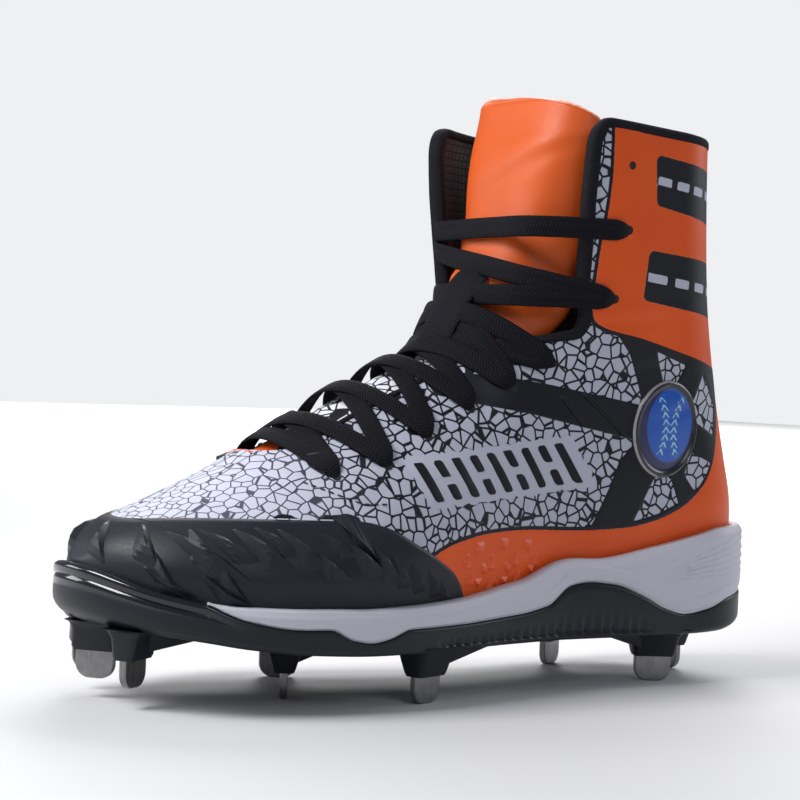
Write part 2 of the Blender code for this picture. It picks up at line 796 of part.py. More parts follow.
def drop_pockets(mesh):
    """Take out closed pockets and specks that a union leaves at crossings."""
    shape = bmesh.new()
    shape.from_mesh(mesh)
    left = set(shape.faces)
    while left:
        shell, edge_of = set(), [next(iter(left))]
        while edge_of:
            face = edge_of.pop()
            if face in left:
                left.discard(face)
                shell.add(face)
                edge_of.extend(other for edge in face.edges for other in edge.link_faces)
        volume = 0.0
        for face in shell:
            corner = [vert.co for vert in face.verts]
            for i in range(1, len(corner) - 1):
                volume += corner[0].dot(corner[i].cross(corner[i + 1])) / 6
        if volume < GAP**3:
            bmesh.ops.delete(shape, geom=list(shell), context="FACES")
    shape.to_mesh(mesh)
    shape.free()


def row_through(y, z):
    """The section of the last that passes a place in the side view."""
    low, high = 0.0, COLLAR_ROW
    for _ in range(30):
        middle = (low + high) / 2
        back, front, _ = fan_line(middle)
        reach, aside = front - back, np.array([y, z]) - back
        ahead = reach[0] * aside[1] - reach[1] * aside[0]
        low, high = (low, middle) if ahead > 0 else (middle, high)
    return (low + high) / 2


def eyelet(place, side):
    """Section and signed distance from the ridge of an eyelet."""
    y, z = place[0] * LENGTH, place[1] * COLLAR_HEIGHT
    row = row_through(y, z)
    points, run = dense_section(row, side)
    return row, side * float(run[np.argmax(points[:, 1] >= y)])


def build_lace(finish):
    """Crossings over the foot, and the passes over the shaft, as one body."""
    right = [eyelet(place, 1) for place in FOOT_EYELETS + SHAFT_EYELETS]
    left = [eyelet(place, -1) for place in FOOT_EYELETS + SHAFT_EYELETS]
    low = GAP + GUARD_WALL
    high = low + LACE_WALL * 0.4
    strands = [(right[0], left[0], low)]
    for i in range(len(FOOT_EYELETS) - 1):
        strands.append((left[i], right[i + 1], low))
        strands.append((right[i], left[i + 1], high))
    strands += [
        (right[-3], left[-2], high),
        (right[-2], left[-2], low),
        (right[-2], left[-1], high),
        (right[-1], left[-1], low),
    ]
    join_all("lace", [band("strand", *strand, finish) for strand in strands])


def bumper_foot(at):
    """Inset of the outsole's side wall at the plate, and where it stands up."""
    roll = PLATE * sole("roll", at)
    return np.maximum(BUMPER_WALL, roll * 0.65), np.maximum(plate_z(at), under_z(at) + roll)


def build_midsole(finish):
    at = LOOP_AT
    covered = at > WHITE_END
    first = at[covered].min()
    core = BUMPER_WALL + GAP
    foot, knee = bumper_foot(at)
    drop = np.clip((at - first) / 0.03, 0, 1) * (0.002 + GAP)
    seam = wing_z(at) + GAP - np.where(covered, drop, 0.0)
    top = np.where(covered, seam, np.maximum(rim_z(at), seam + GAP))
    outside = np.where(covered, core, 0.0)
    liner = core + CUP_LINER
    side = np.clip((0.42 - at) / 0.12, 0, 1)
    groove = np.where(covered, core, SIDE_GROOVE * side)
    rings = [
        ring(foot + GAP, plate_z(at) + GAP),
        ring(core, knee + GAP),
        ring(core, seam),
        ring(outside, seam),
    ]
    for share, inset in ((0.36, outside), (0.40, groove), (0.62, groove), (0.66, outside)):
        rings.append(ring(inset, seam + (top - seam) * share))
    rings += [ring(outside, top), ring(liner, top), ring(liner, foot_z(at))]
    return ring_solid("midsole", rings, finish)


def build_insole(finish):
    at = LOOP_AT
    inset = UPPER_INSET + UPPER_WALL + 6 * GAP
    inset = inset + INSOLE_WALL / 2 * np.clip((at - 0.85) / 0.1, 0, 1)
    base = foot_z(at) + GAP
    chamfer = INSOLE_WALL / 4
    rings = [
        ring(inset, base),
        ring(inset, base + INSOLE_WALL - chamfer),
        ring(inset + chamfer, base + INSOLE_WALL),
    ]
    return ring_solid("insole", rings, finish)


def stud_place(row):
    across = row["across"] * BALL_WIDTH
    along = row["along"] * LENGTH
    return across, along, math.radians(row["turn"]), row["toe"] * TOE_STUD_LIFT


def placed(flat, across, along, turn):
    """Points of a stud's own frame, width along x, turned and put in place."""
    x = across + flat[:, 0] * math.cos(turn) - flat[:, 1] * math.sin(turn)
    y = along + flat[:, 0] * math.sin(turn) + flat[:, 1] * math.cos(turn)
    return np.column_stack([x, y, flat[:, 2]])


def build_housing(row, finish):
    """A tapered foot of the outsole that holds one blade."""
    across, along, turn, lift = stud_place(row)
    at = 0.5 - along / LENGTH
    low = lift + STUD_DROP + GAP
    high = float(under_z(at)) + PLATE / 2
    rings = []
    for z, wide, deep in ((low, 0.56, 0.30), (high, 0.80, 0.62)):
        half, thick = STUD_WIDTH * wide, STUD_WIDTH * deep
        cut = thick * 0.4
        corner = [
            (half, thick - cut), (half - cut, thick), (cut - half, thick),
            (-half, thick - cut), (-half, cut - thick), (cut - half, -thick),
            (half - cut, -thick), (half, cut - thick),
        ]
        flat = np.array([(x, y, z) for x, y in corner])
        rings.append(placed(flat, across, along, turn))
    count = len(rings[0])
    faces = [tuple(range(count)), tuple(range(count, 2 * count))]
    for i in range(count):
        j = (i + 1) % count
        faces.append((i, j, count + j, count + i))
    return solid("housing", np.vstack(rings), faces, finish)


def build_outsole(rows, finish):
    at = LOOP_AT
    roll = PLATE * sole("roll", at)
    under, wing = under_z(at), wing_z(at)
    foot, knee = bumper_foot(at)
    rings = [
        ring(roll * 1.5, under),
        ring(roll * 0.45, under + roll * 0.35),
        ring(0.0, under + np.minimum(roll, (wing - under) * 0.7)),
        ring(0.0, wing),
        ring(BUMPER_WALL, wing),
        ring(BUMPER_WALL, knee),
        ring(foot, plate_z(at)),
    ]
    plate = ring_solid("plate", rings, finish)
    housings = [build_housing(row, finish) for row in rows]
    return join_all("outsole", [plate] + housings)


def build_stud(row, finish):
    """A steel blade with round lower corners and a flat foot."""
    across, along, turn, lift = stud_place(row)
    half, round_off = STUD_WIDTH / 2, STUD_WIDTH * 0.3
    profile = [(half, STUD_DROP), (half, round_off)]
    for step in (30, 60, 90):
        angle = math.radians(step)
        x = half - round_off + round_off * math.cos(angle)
        profile.append((x, round_off - round_off * math.sin(angle)))
    profile += [(-x, z) for x, z in reversed(profile)]
    count = len(profile)
    front = np.array([(x, -STUD_WALL / 2, lift + z) for x, z in profile])
    back = np.array([(x, STUD_WALL / 2, lift + z) for x, z in profile])
    points = placed(np.vstack([front, back]), across, along, turn)
    faces = [tuple(range(count)), tuple(range(count, 2 * count))]
    for i in range(count):
        j = (i + 1) % count
        faces.append((i, j, count + j, count + i))
    return solid(row["name"], points, faces, finish)


def build():
    for old in list(bpy.data.objects):
        bpy.data.objects.remove(old)
    finish = {name: material(name) for name in FINISHES}
    rows = [dict(zip(STUD_COLUMNS, row)) for row in STUDS]
    build_upper(finish["upper"])
    build_guard(finish["toe_guard"])
    build_tongue(finish["tongue"])
    build_keeper(finish["lace"])
    build_lace(finish["lace"])
    build_insole(finish["insole"])
    build_midsole(finish["midsole"])
    build_outsole(rows, finish["outsole"])
    for row in rows:
        build_stud(row, finish["stud"])


build()
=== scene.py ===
import math

import bpy
import bmesh
import numpy as np
from mathutils import Matrix, Vector
from mathutils.bvhtree import BVHTree


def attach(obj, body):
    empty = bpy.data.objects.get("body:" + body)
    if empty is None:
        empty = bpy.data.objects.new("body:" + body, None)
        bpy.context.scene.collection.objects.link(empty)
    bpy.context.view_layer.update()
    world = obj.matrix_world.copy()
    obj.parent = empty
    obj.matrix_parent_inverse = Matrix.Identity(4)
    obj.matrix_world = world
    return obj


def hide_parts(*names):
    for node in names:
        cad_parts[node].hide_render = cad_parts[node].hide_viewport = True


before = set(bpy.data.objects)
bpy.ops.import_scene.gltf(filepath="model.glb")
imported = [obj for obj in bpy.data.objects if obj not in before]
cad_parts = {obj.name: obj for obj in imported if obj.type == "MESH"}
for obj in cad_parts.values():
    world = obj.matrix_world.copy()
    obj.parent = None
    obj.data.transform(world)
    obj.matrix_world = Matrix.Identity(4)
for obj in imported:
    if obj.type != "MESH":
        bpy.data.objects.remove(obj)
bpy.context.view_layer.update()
mm = 0.001

# The shoe's sizes, as in the solids: toe towards -Y, outer side towards +X
shoe = {
    "length": 0.300, "ballWidth": 0.104, "heelWidth": 0.076, "instep": 0.127,
    "collar": 0.2165, "stand": 0.0195, "spring": 0.0075,
    "stack": 0.0275, "cup": 0.015, "plate": 0.004, "rimWall": 0.0045,
    "bumperWall": 0.003, "upperWall": 0.0022, "collarWall": 0.0045,
    "tongueGap": 0.0016, "tongueWall": 0.003, "tonguePad": 0.0055,
    "tongueWidth": 0.088, "throatWidth": 0.040, "flapCorner": 0.012,
    "gap": 0.0003, "heelCap": 0.125, "toeCap": 0.250, "capPower": 2.05,
    "whiteEnd": 0.899, "collarRow": 20,
}

# Sole from heel 0 to toe 1
soleTable = {
    "at": (0, 0.04, 0.10, 0.15, 0.22, 0.30, 0.365, 0.45, 0.55, 0.68, 0.77, 0.85, 0.90, 0.94, 1),
    "centre": (
        -0.013, -0.013, -0.013, -0.013, -0.007, 0.007, 0.017, 0.027, 0.027, 0.017, -0.005,
        -0.013, -0.019, -0.028, -0.063,
    ),
    "heel": (1, 1, 1, 1, 0.98, 0.80, 0.62, 0.40, 0.14, 0, 0, 0, 0, 0, 0),
    "ball": (0, 0, 0, 0, 0.01, 0.10, 0.20, 0.40, 0.71, 0.955, 0.985, 0.98, 0.975, 0.97, 0.95),
    "spring": (0.70, 0.22, 0, 0, 0, 0, 0, 0, 0, 0.03, 0.17, 0.46, 0.72, 0.86, 1),
    "stack": (
        0.81, 0.94, 1, 0.98, 0.96, 0.89, 0.82, 0.70, 0.53, 0.43, 0.39, 0.34, 0.30, 0.31, 0.36,
    ),
    "cup": (1, 0.98, 0.93, 0.76, 0.54, 0.40, 0.52, 0.24, 0.25, 0.30, 0.33, 0.33, 0.36, 0.44, 0.78),
    "roll": (1.2, 1.1, 0.9, 0.5, 0.4, 0.4, 0.4, 0.4, 0.4, 0.4, 0.4, 0.6, 1.0, 1.5, 2.6),
}
wingTable = {
    "at": (
        0, 0.08, 0.125, 0.165, 0.2, 0.243, 0.29, 0.325, 0.36, 0.4, 0.49, 0.64, 0.675, 0.7,
        0.725, 0.755, 0.8, 0.857, 0.88, 0.9, 1,
    ),
    "rise": (
        0.29, 0.26, 0.16, 0.12, 0.20, 0.41, 0.62, 0.67, 0.62, 0.39, 0.36, 0.38, 0.14, 0.05,
        0.13, 0.42, 0.40, 0.57, 0.78, 1, 1,
    ),
}
# The last's sections, one column for each
lastTable = {
    "back": (
        -0.393, -0.368, -0.340, -0.312, -0.282, -0.235, -0.185, -0.130, -0.070, 0, 0.100,
        0.220, 0.345, 0.440, 0.488, 0.5, 0.5, 0.5, 0.5, 0.5, 0.5,
    ),
    "rise": (0, 0, 0, 0, 0, 0, 0, 0, 0, 0, 0, 0, 0, 0, 0, 0, 0.15, 0.34, 0.56, 0.78, 0.965),
    "front": (
        -0.500, -0.500, -0.482, -0.466, -0.441, -0.372, -0.300, -0.226, -0.150, -0.083,
        -0.030, 0.002, 0.015, 0.020, 0.023, 0.024, 0.025, 0.026, 0.027, 0.028, 0.029,
    ),
    "instep": (
        0, 0.065, 0.135, 0.210, 0.278, 0.378, 0.490, 0.638, 0.790, 0.905, 0.985,
        1, 1, 1, 1, 1, 1, 1, 1, 1, 1,
    ),
    "shaft": (
        0, 0, 0, 0, 0, 0, 0, 0, 0, 0, 0, 0.11, 0.20, 0.28, 0.36, 0.43, 0.52, 0.64, 0.77,
        0.90, 1,
    ),
    "ridge": (
        -0.063, -0.065, -0.069, -0.073, -0.077, -0.081, -0.083, -0.081, -0.075, -0.068,
        -0.059, -0.049, -0.041, -0.033, -0.027, -0.023, -0.019, -0.016, -0.013, -0.013, -0.013,
    ),
    "belly": (
        0.10, 0.15, 0.20, 0.24, 0.26, 0.28, 0.28, 0.28, 0.28, 0.29, 0.30, 0.31, 0.32, 0.33,
        0.34, 0.35, 0.36, 0.37, 0.38, 0.39, 0.40,
    ),
    "crown": (
        60, 36, 9, 4.4, 3, 2.3, 2, 1.85, 1.8, 1.85, 2, 2.3, 2.6, 2.9, 3.1, 3.3, 3.5, 3.7,
        3.9, 4, 4,
    ),
}
shaftTable = {
    "height": (-0.4, 0, 0.07, 0.17, 0.28, 0.40, 0.58, 0.80, 1, 1.2),
    "lean": (0, 0, 0.007, 0.023, 0.040, 0.058, 0.080, 0.096, 0.105, 0.110),
    "rear": (0, 0, 0.06, 0.10, 0.13, 0.19, 0.28, 0.38, 0.45, 0.49),
    "fore": (0, 0, 0.045, 0.055, 0.055, 0.055, 0.080, 0.110, 0.120, 0.120),
}
throat = {
    "along": (-0.2, 0.020, 0.090, 0.133, 0.139, 0.129, 0.122, 0.124),
    "height": (0.598, 0.604, 0.612, 0.624, 0.652, 0.690, 0.860, 1.100),
    "start": -0.262, "round": 0.040, "innerReach": 0.017,
}
tongueTable = {
    "row": (6.2, 6.8, 7.4, 9, 12, 13, 14, 15, 16, 17, 18, 19, 20, 20.5, 20.85, 21),
    "outer": (
        0.16, 0.32, 0.40, 0.42, 0.48, 0.57, 0.62, 0.65, 0.66, 0.66, 0.66, 0.65, 0.58, 0.42, 0.19, 0.02,
    ),
    "inner": (
        0.16, 0.32, 0.40, 0.42, 0.44, 0.48, 0.53, 0.56, 0.58, 0.59, 0.59, 0.59, 0.58, 0.57, 0.55, 0.49,
    ),
    "back": (
        0, 0, 0, 0, 0, 0.007, 0.014, 0.021, 0.028, 0.039, 0.047, 0.053, 0.059, 0.062, 0.064, 0.065,
    ),
}


def curve(knots, values, at):
    # A smooth curve through a column, without overshoot
    knots, values, at = np.asarray(knots, float), np.asarray(values, float), np.asarray(at, float)
    step = np.diff(knots)
    rate = np.diff(values) / step
    slope = np.zeros(len(knots))
    slope[0], slope[-1] = rate[0], rate[-1]
    same = rate[:-1] * rate[1:] > 0
    early, late = 2 * step[1:] + step[:-1], step[1:] + 2 * step[:-1]
    below, above = np.where(same, rate[:-1], 1.0), np.where(same, rate[1:], 1.0)
    slope[1:-1] = np.where(same, (early + late) / (early / below + late / above), 0.0)
    i = np.clip(np.searchsorted(knots, at, side="right") - 1, 0, len(step) - 1)
    t = (at - knots[i]) / step[i]
    return (
        (2 * t**3 - 3 * t**2 + 1) * values[i] + (t**3 - 2 * t**2 + t) * step[i] * slope[i]
        + (3 * t**2 - 2 * t**3) * values[i + 1] + (t**3 - t**2) * step[i] * slope[i + 1]
    )


def runOf(line):
    # Distance along a line, at each of its points
    return np.append(0, np.cumsum(np.linalg.norm(np.diff(line, axis=0), axis=1)))


def unit(vectors):
    return vectors / np.linalg.norm(vectors, axis=-1, keepdims=True)


def ease(value, low, high):
    t = np.clip((np.asarray(value, float) - low) / (high - low), 0, 1)
    return t * t * (3 - 2 * t)


def sole(name, at):
    return curve(soleTable["at"], soleTable[name], at)


def underZ(at):
    return shoe["stand"] + shoe["spring"] * sole("spring", at)


def footZ(at):
    return underZ(at) + shoe["stack"] * sole("stack", at)


def rimZ(at):
    return footZ(at) + shoe["cup"] * sole("cup", at)


def plateZ(at):
    return underZ(at) + shoe["plate"]


def wingZ(at):
    return plateZ(at) + curve(wingTable["at"], wingTable["rise"], at) * (rimZ(at) - plateZ(at))


def endCap(depth, length):
    # Rounds an end of the outline in plan, from 0 at its tip to 1
    back = np.clip(1 - depth / length, 0, 1)
    return (1 - back ** shoe["capPower"]) ** (1 / shoe["capPower"])


def outline(at):
    half = (shoe["heelWidth"] * sole("heel", at) + shoe["ballWidth"] * sole("ball", at)) / 2
    half = half * endCap(at, shoe["heelCap"]) * endCap(1 - at, shoe["toeCap"])
    centre = shoe["ballWidth"] * sole("centre", at)
    return centre + half, centre - half


def outward(loop):
    along = np.roll(loop, -1, axis=0) - np.roll(loop, 1, axis=0)
    return unit(np.column_stack([-along[:, 1], along[:, 0]]))


def fineShares(count):
    # Shares from 0 to 1, closer together at both ends
    return (1 - np.cos(np.linspace(0, math.pi, count))) / 2


def loopThrough(at):
    # The outline as a loop: heel tip, outer side, toe tip, inner side
    outer, inner = outline(at)
    y = (0.5 - at) * shoe["length"]
    return np.vstack([np.column_stack([outer, y]), np.column_stack([inner, y])[-2:0:-1]])


def soleLoop(count):
    fine = fineShares(600)
    run = runOf(np.column_stack([outline(fine)[0], fine * shoe["length"]]))
    at = np.interp(np.linspace(0, run[-1], count + 1), run, fine)
    return loopThrough(at), np.concatenate([at, at[-2:0:-1]])


def lastedEdges(count=600):
    loop = loopThrough(fineShares(count))
    moved = loop - outward(loop) * (shoe["rimWall"] + shoe["gap"] * 2.5)
    return moved[:count][::-1], np.vstack([moved[count - 1:], moved[:1]])


rightEdge, leftEdge = lastedEdges()
toeTip, heelTip = rightEdge[0, 1], rightEdge[-1, 1]
footToe, footHeel = float(footZ(1.0)) + shoe["gap"], float(footZ(0.0)) + shoe["gap"]
rimHeel = float(rimZ(0.0))


def lean(z):
    # How far forward the shaft's back leans at a height
    height = (z - rimHeel) / (shoe["collar"] - rimHeel)
    return shoe["length"] * curve(shaftTable["height"], shaftTable["lean"], height)


def fanLine(row):
    # The two ends of a row's section plane seen from the side, and the last's values there
    marks = np.arange(shoe["collarRow"] + 1)
    value = {name: float(curve(marks, column, row)) for name, column in lastTable.items()}
    y = min(value["back"], 0.5) * (heelTip - toeTip) + (heelTip + toeTip) / 2
    z = float(footZ(min(max(0.5 - y / shoe["length"], 0.0), 1.0))) + shoe["gap"]
    if value["rise"] > 0:
        z = footHeel + value["rise"] * (shoe["collar"] - footHeel)
        y = heelTip - float(lean(z))
    frontY = max(value["front"] * shoe["length"], toeTip)
    frontZ = (
        footToe + value["instep"] * (shoe["instep"] - footToe)
        + value["shaft"] * (shoe["collar"] - shoe["instep"])
    )
    return np.array([y, z]), np.array([frontY, frontZ]), value


def section(row, side):
    # Points of one half section from the ridge down, with their distances
    back, front, value = fanLine(row)
    down = fineShares(360)
    y = front[0] + (back[0] - front[0]) * down
    z = front[1] + (back[1] - front[1]) * down
    shifted = np.clip(y + lean(z), toeTip, heelTip)
    right = np.interp(shifted, rightEdge[:, 1], rightEdge[:, 0])
    left = np.interp(shifted, leftEdge[:, 1], leftEdge[:, 0])
    centre, half = (right + left) / 2, (right - left) / 2
    rim = rimZ(np.clip(0.5 - shifted / shoe["length"], 0, 1))
    level = np.clip((z - rim) / (shoe["collar"] - rimHeel), -0.3, 1.2)
    rear = curve(shaftTable["height"], shaftTable["rear"], level)
    fore = curve(shaftTable["height"], shaftTable["fore"], level)
    half = half * (1 + fore + (rear - fore) * ease(y / shoe["length"], -0.22, 0.14))
    past = np.clip((1 - down - value["belly"]) / (1 - value["belly"]), 0, 1)
    crown = (1 - past ** value["crown"]) ** (1 / value["crown"])
    ridge = shoe["ballWidth"] * value["ridge"]
    x = centre * crown + ridge * (1 - crown) + side * half * crown
    points = np.column_stack([x, y, z])
    return points, runOf(points)


sectionStore = {}


def storedSection(row, side):
    key = (round(float(row), 5), side)
    if key not in sectionStore:
        sectionStore[key] = section(*key)
    return sectionStore[key]


def onSection(row, side, distance):
    points, run = storedSection(row, side)
    return np.column_stack([np.interp(distance, run, points[:, i]) for i in range(3)])


def spot(row, across):
    return onSection(row, 1 if across >= 0 else -1, [abs(across)])[0]


def spotNormal(row, across):
    up = spot(row + 0.03, across) - spot(row - 0.03, across)
    over = spot(row, across + 0.8 * mm) - spot(row, across - 0.8 * mm)
    normal = unit(np.cross(over, up))
    inside = np.array([0.0, spot(row, 0.0)[1] + 0.06, spot(row, 0.0)[2] / 2])
    return normal if np.dot(normal, spot(row, across) - inside) > 0 else -normal


def throatDistance(row, side):
    # How far down a half section the throat's edge lies
    points, run = storedSection(row, side)
    deep = (points[0, 1] / shoe["length"] - throat["start"]) / throat["round"]
    half = shoe["throatWidth"] / 2 * math.sqrt(1 - (1 - min(max(deep, 0), 1)) ** 2)
    edge = float(run[np.argmax(np.abs(points[:, 0] - points[0, 0]) >= half)])
    lineY = np.array(throat["along"]) * shoe["length"]
    lineZ = np.array(throat["height"]) * shoe["collar"]
    fence = np.interp(points[:, 2], lineZ[1:], lineY[1:])
    if side < 0:
        fence = fence - throat["innerReach"]
    fromTop = (points[:, 2] - shoe["collar"] + shoe["flapCorner"]) / shoe["flapCorner"]
    fence = fence + shoe["flapCorner"] * (1 - np.sqrt(1 - np.clip(fromTop, 0, 1) ** 2))
    outside = (points[:, 2] > lineZ[1]) & (points[:, 1] < fence)
    if outside.any():
        edge = max(edge, float(run[np.nonzero(outside)[0][-1]]))
    return edge


def wallAt(z):
    share = ease(z / shoe["collar"], 0.5, 0.75)
    return shoe["upperWall"] + (shoe["collarWall"] - shoe["upperWall"]) * share


def setBack(row):
    return shoe["length"] * curve(tongueTable["row"], tongueTable["back"], row)


# Meshes

def newObject(name, mesh, slot=None, nodes=(), material=None):
    piece = bpy.data.objects.new(name, mesh)
    bpy.context.scene.collection.objects.link(piece)
    if material:
        piece.data.materials.clear()
        piece.data.materials.append(material)
    if slot:
        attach(piece, "root")
    if nodes:
        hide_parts(*nodes)
    return piece


def meshFrom(name, points, faces):
    mesh = bpy.data.meshes.new(name)
    mesh.from_pydata([tuple(p) for p in points], [], [tuple(int(i) for i in f) for f in faces])
    return mesh


def gridFaces(rows, columns, wrap=False, first=0, flip=False):
    last = columns if wrap else columns - 1
    i, j = np.meshgrid(np.arange(rows - 1), np.arange(last), indexing="ij")
    low, high, k = i * columns, (i + 1) * columns, (j + 1) % columns
    quads = np.stack([low + j, low + k, high + k, high + j], -1).reshape(-1, 4) + first
    return quads[:, ::-1] if flip else quads


def weld(mesh, reach=0.02 * mm):
    shape = bmesh.new()
    shape.from_mesh(mesh)
    bmesh.ops.remove_doubles(shape, verts=shape.verts, dist=reach)
    bmesh.ops.dissolve_degenerate(shape, edges=shape.edges, dist=reach / 2)
    shape.to_mesh(mesh)
    shape.free()


def pointsOf(mesh):
    flat = np.zeros(len(mesh.vertices) * 3)
    mesh.vertices.foreach_get("co", flat)
    return flat.reshape(-1, 3)


def normalsOf(mesh):
    flat = np.zeros(len(mesh.vertices) * 3, dtype=np.float32)
    mesh.vertex_normals.foreach_get("vector", flat)
    return flat.reshape(-1, 3).astype(float)


def setPoints(mesh, points):
    mesh.vertices.foreach_set("co", points.ravel())
    mesh.update()


def setField(mesh, name, values):
    field = mesh.attributes.new(name, "FLOAT", "POINT")
    field.data.foreach_set("value", np.asarray(values, dtype=np.float32))


def setUv(mesh, uv):
    layer = mesh.uv_layers.new(name="cloth")
    index = np.zeros(len(mesh.loops), dtype=np.int32)
    mesh.loops.foreach_get("vertex_index", index)
    layer.data.foreach_set("uv", np.asarray(uv, dtype=np.float32)[index].ravel())


def closedLoft(name, rings, smoothAngle=40, uv=None):
    # A closed tube through a stack of rings, capped by fans at both ends
    rings = np.asarray(rings)
    count, around = rings.shape[:2]
    points = [*rings.reshape(-1, 3), rings[0].mean(axis=0), rings[-1].mean(axis=0)]
    faces = [tuple(f) for f in gridFaces(count, around, wrap=True)]
    low, high, last = count * around, count * around + 1, (count - 1) * around
    for i in range(around):
        j = (i + 1) % around
        faces.append((low, j, i))
        faces.append((high, last + i, last + j))
    mesh = meshFrom(name, points, faces)
    if uv is not None:
        setUv(mesh, np.vstack([np.asarray(uv).reshape(-1, 2), uv[0][0], uv[-1][0]]))
    mesh.shade_smooth()
    mesh.set_sharp_from_angle(angle=math.radians(smoothAngle))
    return mesh


def treeOf(mesh):
    return BVHTree.FromPolygons(
        [tuple(p) for p in pointsOf(mesh)], [face.vertices[:] for face in mesh.polygons]
    )


def turnOut(mesh):
    shape = bmesh.new()
    shape.from_mesh(mesh)
    bmesh.ops.recalc_face_normals(shape, faces=shape.faces)
    if shape.calc_volume(signed=True) < 0:
        bmesh.ops.reverse_faces(shape, faces=shape.faces)
    shape.to_mesh(mesh)
    shape.free()


def joined(name, meshes):
    # Several closed meshes as one, all turned out
    shape = bmesh.new()
    for mesh in meshes:
        shape.from_mesh(mesh)
    bmesh.ops.recalc_face_normals(shape, faces=shape.faces)
    whole = bpy.data.meshes.new(name)
    shape.to_mesh(whole)
    shape.free()
    whole.shade_smooth()
    return whole


def normalsFrom(mesh, centre, way=1):
    # Normals turned away from a centre, or towards it where way is -1
    normal = normalsOf(mesh)
    if np.sum((pointsOf(mesh) - np.array(centre)) * normal) * way < 0:
        mesh.flip_normals()
        normal = -normal
    return normal


def lineDistance(points, line):
    best = np.full(len(points), 1e9)
    for (ax, ay), (bx, by) in zip(line, line[1:]):
        dx, dy = bx - ax, by - ay
        px, py = points[:, 0] - ax, points[:, 1] - ay
        t = np.clip((px * dx + py * dy) / (dx * dx + dy * dy), 0, 1)
        best = np.minimum(best, np.hypot(px - t * dx, py - t * dy))
    return best


def polygonDistance(points, polygon):
    # Signed distance to a closed outline, in mm, positive inside
    closed = polygon + polygon[:1]
    best = lineDistance(points, closed)
    inside = np.zeros(len(points), bool)
    for (ax, ay), (bx, by) in zip(closed, closed[1:]):
        hit = (points[:, 1] < ay) != (points[:, 1] < by)
        with np.errstate(divide="ignore", invalid="ignore"):
            cross = points[:, 0] - ax - (points[:, 1] - ay) * (bx - ax) / (by - ay)
        inside ^= hit & (cross < 0)
    return np.where(inside, best, -best)


def rounded(line, steps=6):
    # A smooth line through a few given points
    line = np.asarray(line, float)
    run = runOf(line)
    at = np.linspace(0, run[-1], (len(line) - 1) * steps + 1)
    return [tuple(p) for p in np.column_stack([curve(run, column, at) for column in line.T])]


# Shader helper: expressions on sockets add their nodes

class Signal:
    def __init__(self, tree, socket):
        self.tree, self.socket = tree, socket

    def math(self, operation, *others):
        node = self.tree.nodes.new("ShaderNodeMath")
        node.operation = operation
        for slot, value in zip(node.inputs, (self, *others)):
            join(self.tree, slot, value)
        return Signal(self.tree, node.outputs[0])

    def __add__(self, other):
        return self.math("ADD", other)

    def __radd__(self, other):
        return self.math("ADD", other)

    def __sub__(self, other):
        return self.math("SUBTRACT", other)

    def __rsub__(self, other):
        return Signal(self.tree, number(self.tree, other)).math("SUBTRACT", self)

    def __mul__(self, other):
        return self.math("MULTIPLY", other)

    def __rmul__(self, other):
        return self.math("MULTIPLY", other)

    def __truediv__(self, other):
        return self.math("DIVIDE", other)

    def higher(self, other):
        return self.math("MAXIMUM", other)

    def size(self):
        return self.math("ABSOLUTE")


def number(tree, value):
    node = tree.nodes.new("ShaderNodeValue")
    node.outputs[0].default_value = value
    return node.outputs[0]


def join(tree, slot, value):
    if isinstance(value, Signal):
        tree.links.new(value.socket, slot)
    elif isinstance(value, tuple) and len(value) == 3 and slot.type == "RGBA":
        slot.default_value = (*value, 1)
    else:
        slot.default_value = value


class Finish:
    def __init__(self, name, colour, roughness, **constants):
        self.material = bpy.data.materials.new(name)
        self.material.use_nodes = True
        self.tree = self.material.node_tree
        self.shader = self.tree.nodes["Principled BSDF"]
        self.shader.inputs["Base Color"].default_value = (*colour, 1)
        self.shader.inputs["Roughness"].default_value = roughness
        for socket, value in constants.items():
            self.shader.inputs[socket.replace("_", " ")].default_value = value

    def node(self, kind, settings=None, output=0, **sockets):
        made = self.tree.nodes.new(kind)
        for key, value in (settings or {}).items():
            setattr(made, key, value)
        for key, value in sockets.items():
            # s6 means the socket numbered 6, any other key is a socket's name
            index = int(key[1:]) if key[1:].isdigit() else key.replace("_", " ")
            join(self.tree, made.inputs[index], value)
        return Signal(self.tree, made.outputs[output])

    def place(self, scale=(1, 1, 1)):
        position = self.node("ShaderNodeTexCoord", output="Object")
        return self.node("ShaderNodeMapping", Vector=position, Scale=scale)

    def uv(self, pitch):
        # The piece's own flat measure, counted in steps of pitch mm along and across
        flat = self.node("ShaderNodeUVMap", {"uv_map": "cloth"})
        steps = 1 / (pitch * mm)
        scaled = self.node("ShaderNodeMapping", Vector=flat, Scale=(steps, steps, 1))
        along = self.node("ShaderNodeSeparateXYZ", Vector=scaled)
        return along, Signal(self.tree, along.socket.node.outputs[1])

    def field(self, name):
        return self.node("ShaderNodeAttribute", {"attribute_name": name}, output="Fac")

    def between(self, value, low, high, toLow=0.0, toHigh=1.0):
        return self.node(
            "ShaderNodeMapRange", {"interpolation_type": "SMOOTHSTEP"}, Value=value,
            From_Min=low, From_Max=high, To_Min=toLow, To_Max=toHigh,
        )

    def noise(self, where, scale, detail=3.0, roughness=0.5):
        return self.node(
            "ShaderNodeTexNoise", Vector=where, Scale=scale, Detail=detail, Roughness=roughness
        )

    def cells(self, where, scale):
        return self.node(
            "ShaderNodeTexVoronoi", {"feature": "DISTANCE_TO_EDGE"}, Vector=where, Scale=scale
        )

    def mix(self, share, low, high):
        return self.node(
            "ShaderNodeMix", {"data_type": "RGBA"}, output=2, s0=share, s6=low, s7=high
        )

    def bump(self, height, distance, strength):
        return self.node("ShaderNodeBump", Height=height, Distance=distance, Strength=strength)

    def feed(self, **sockets):
        for name, value in sockets.items():
            join(self.tree, self.shader.inputs[name.replace("_", " ")], value)
        return self.material


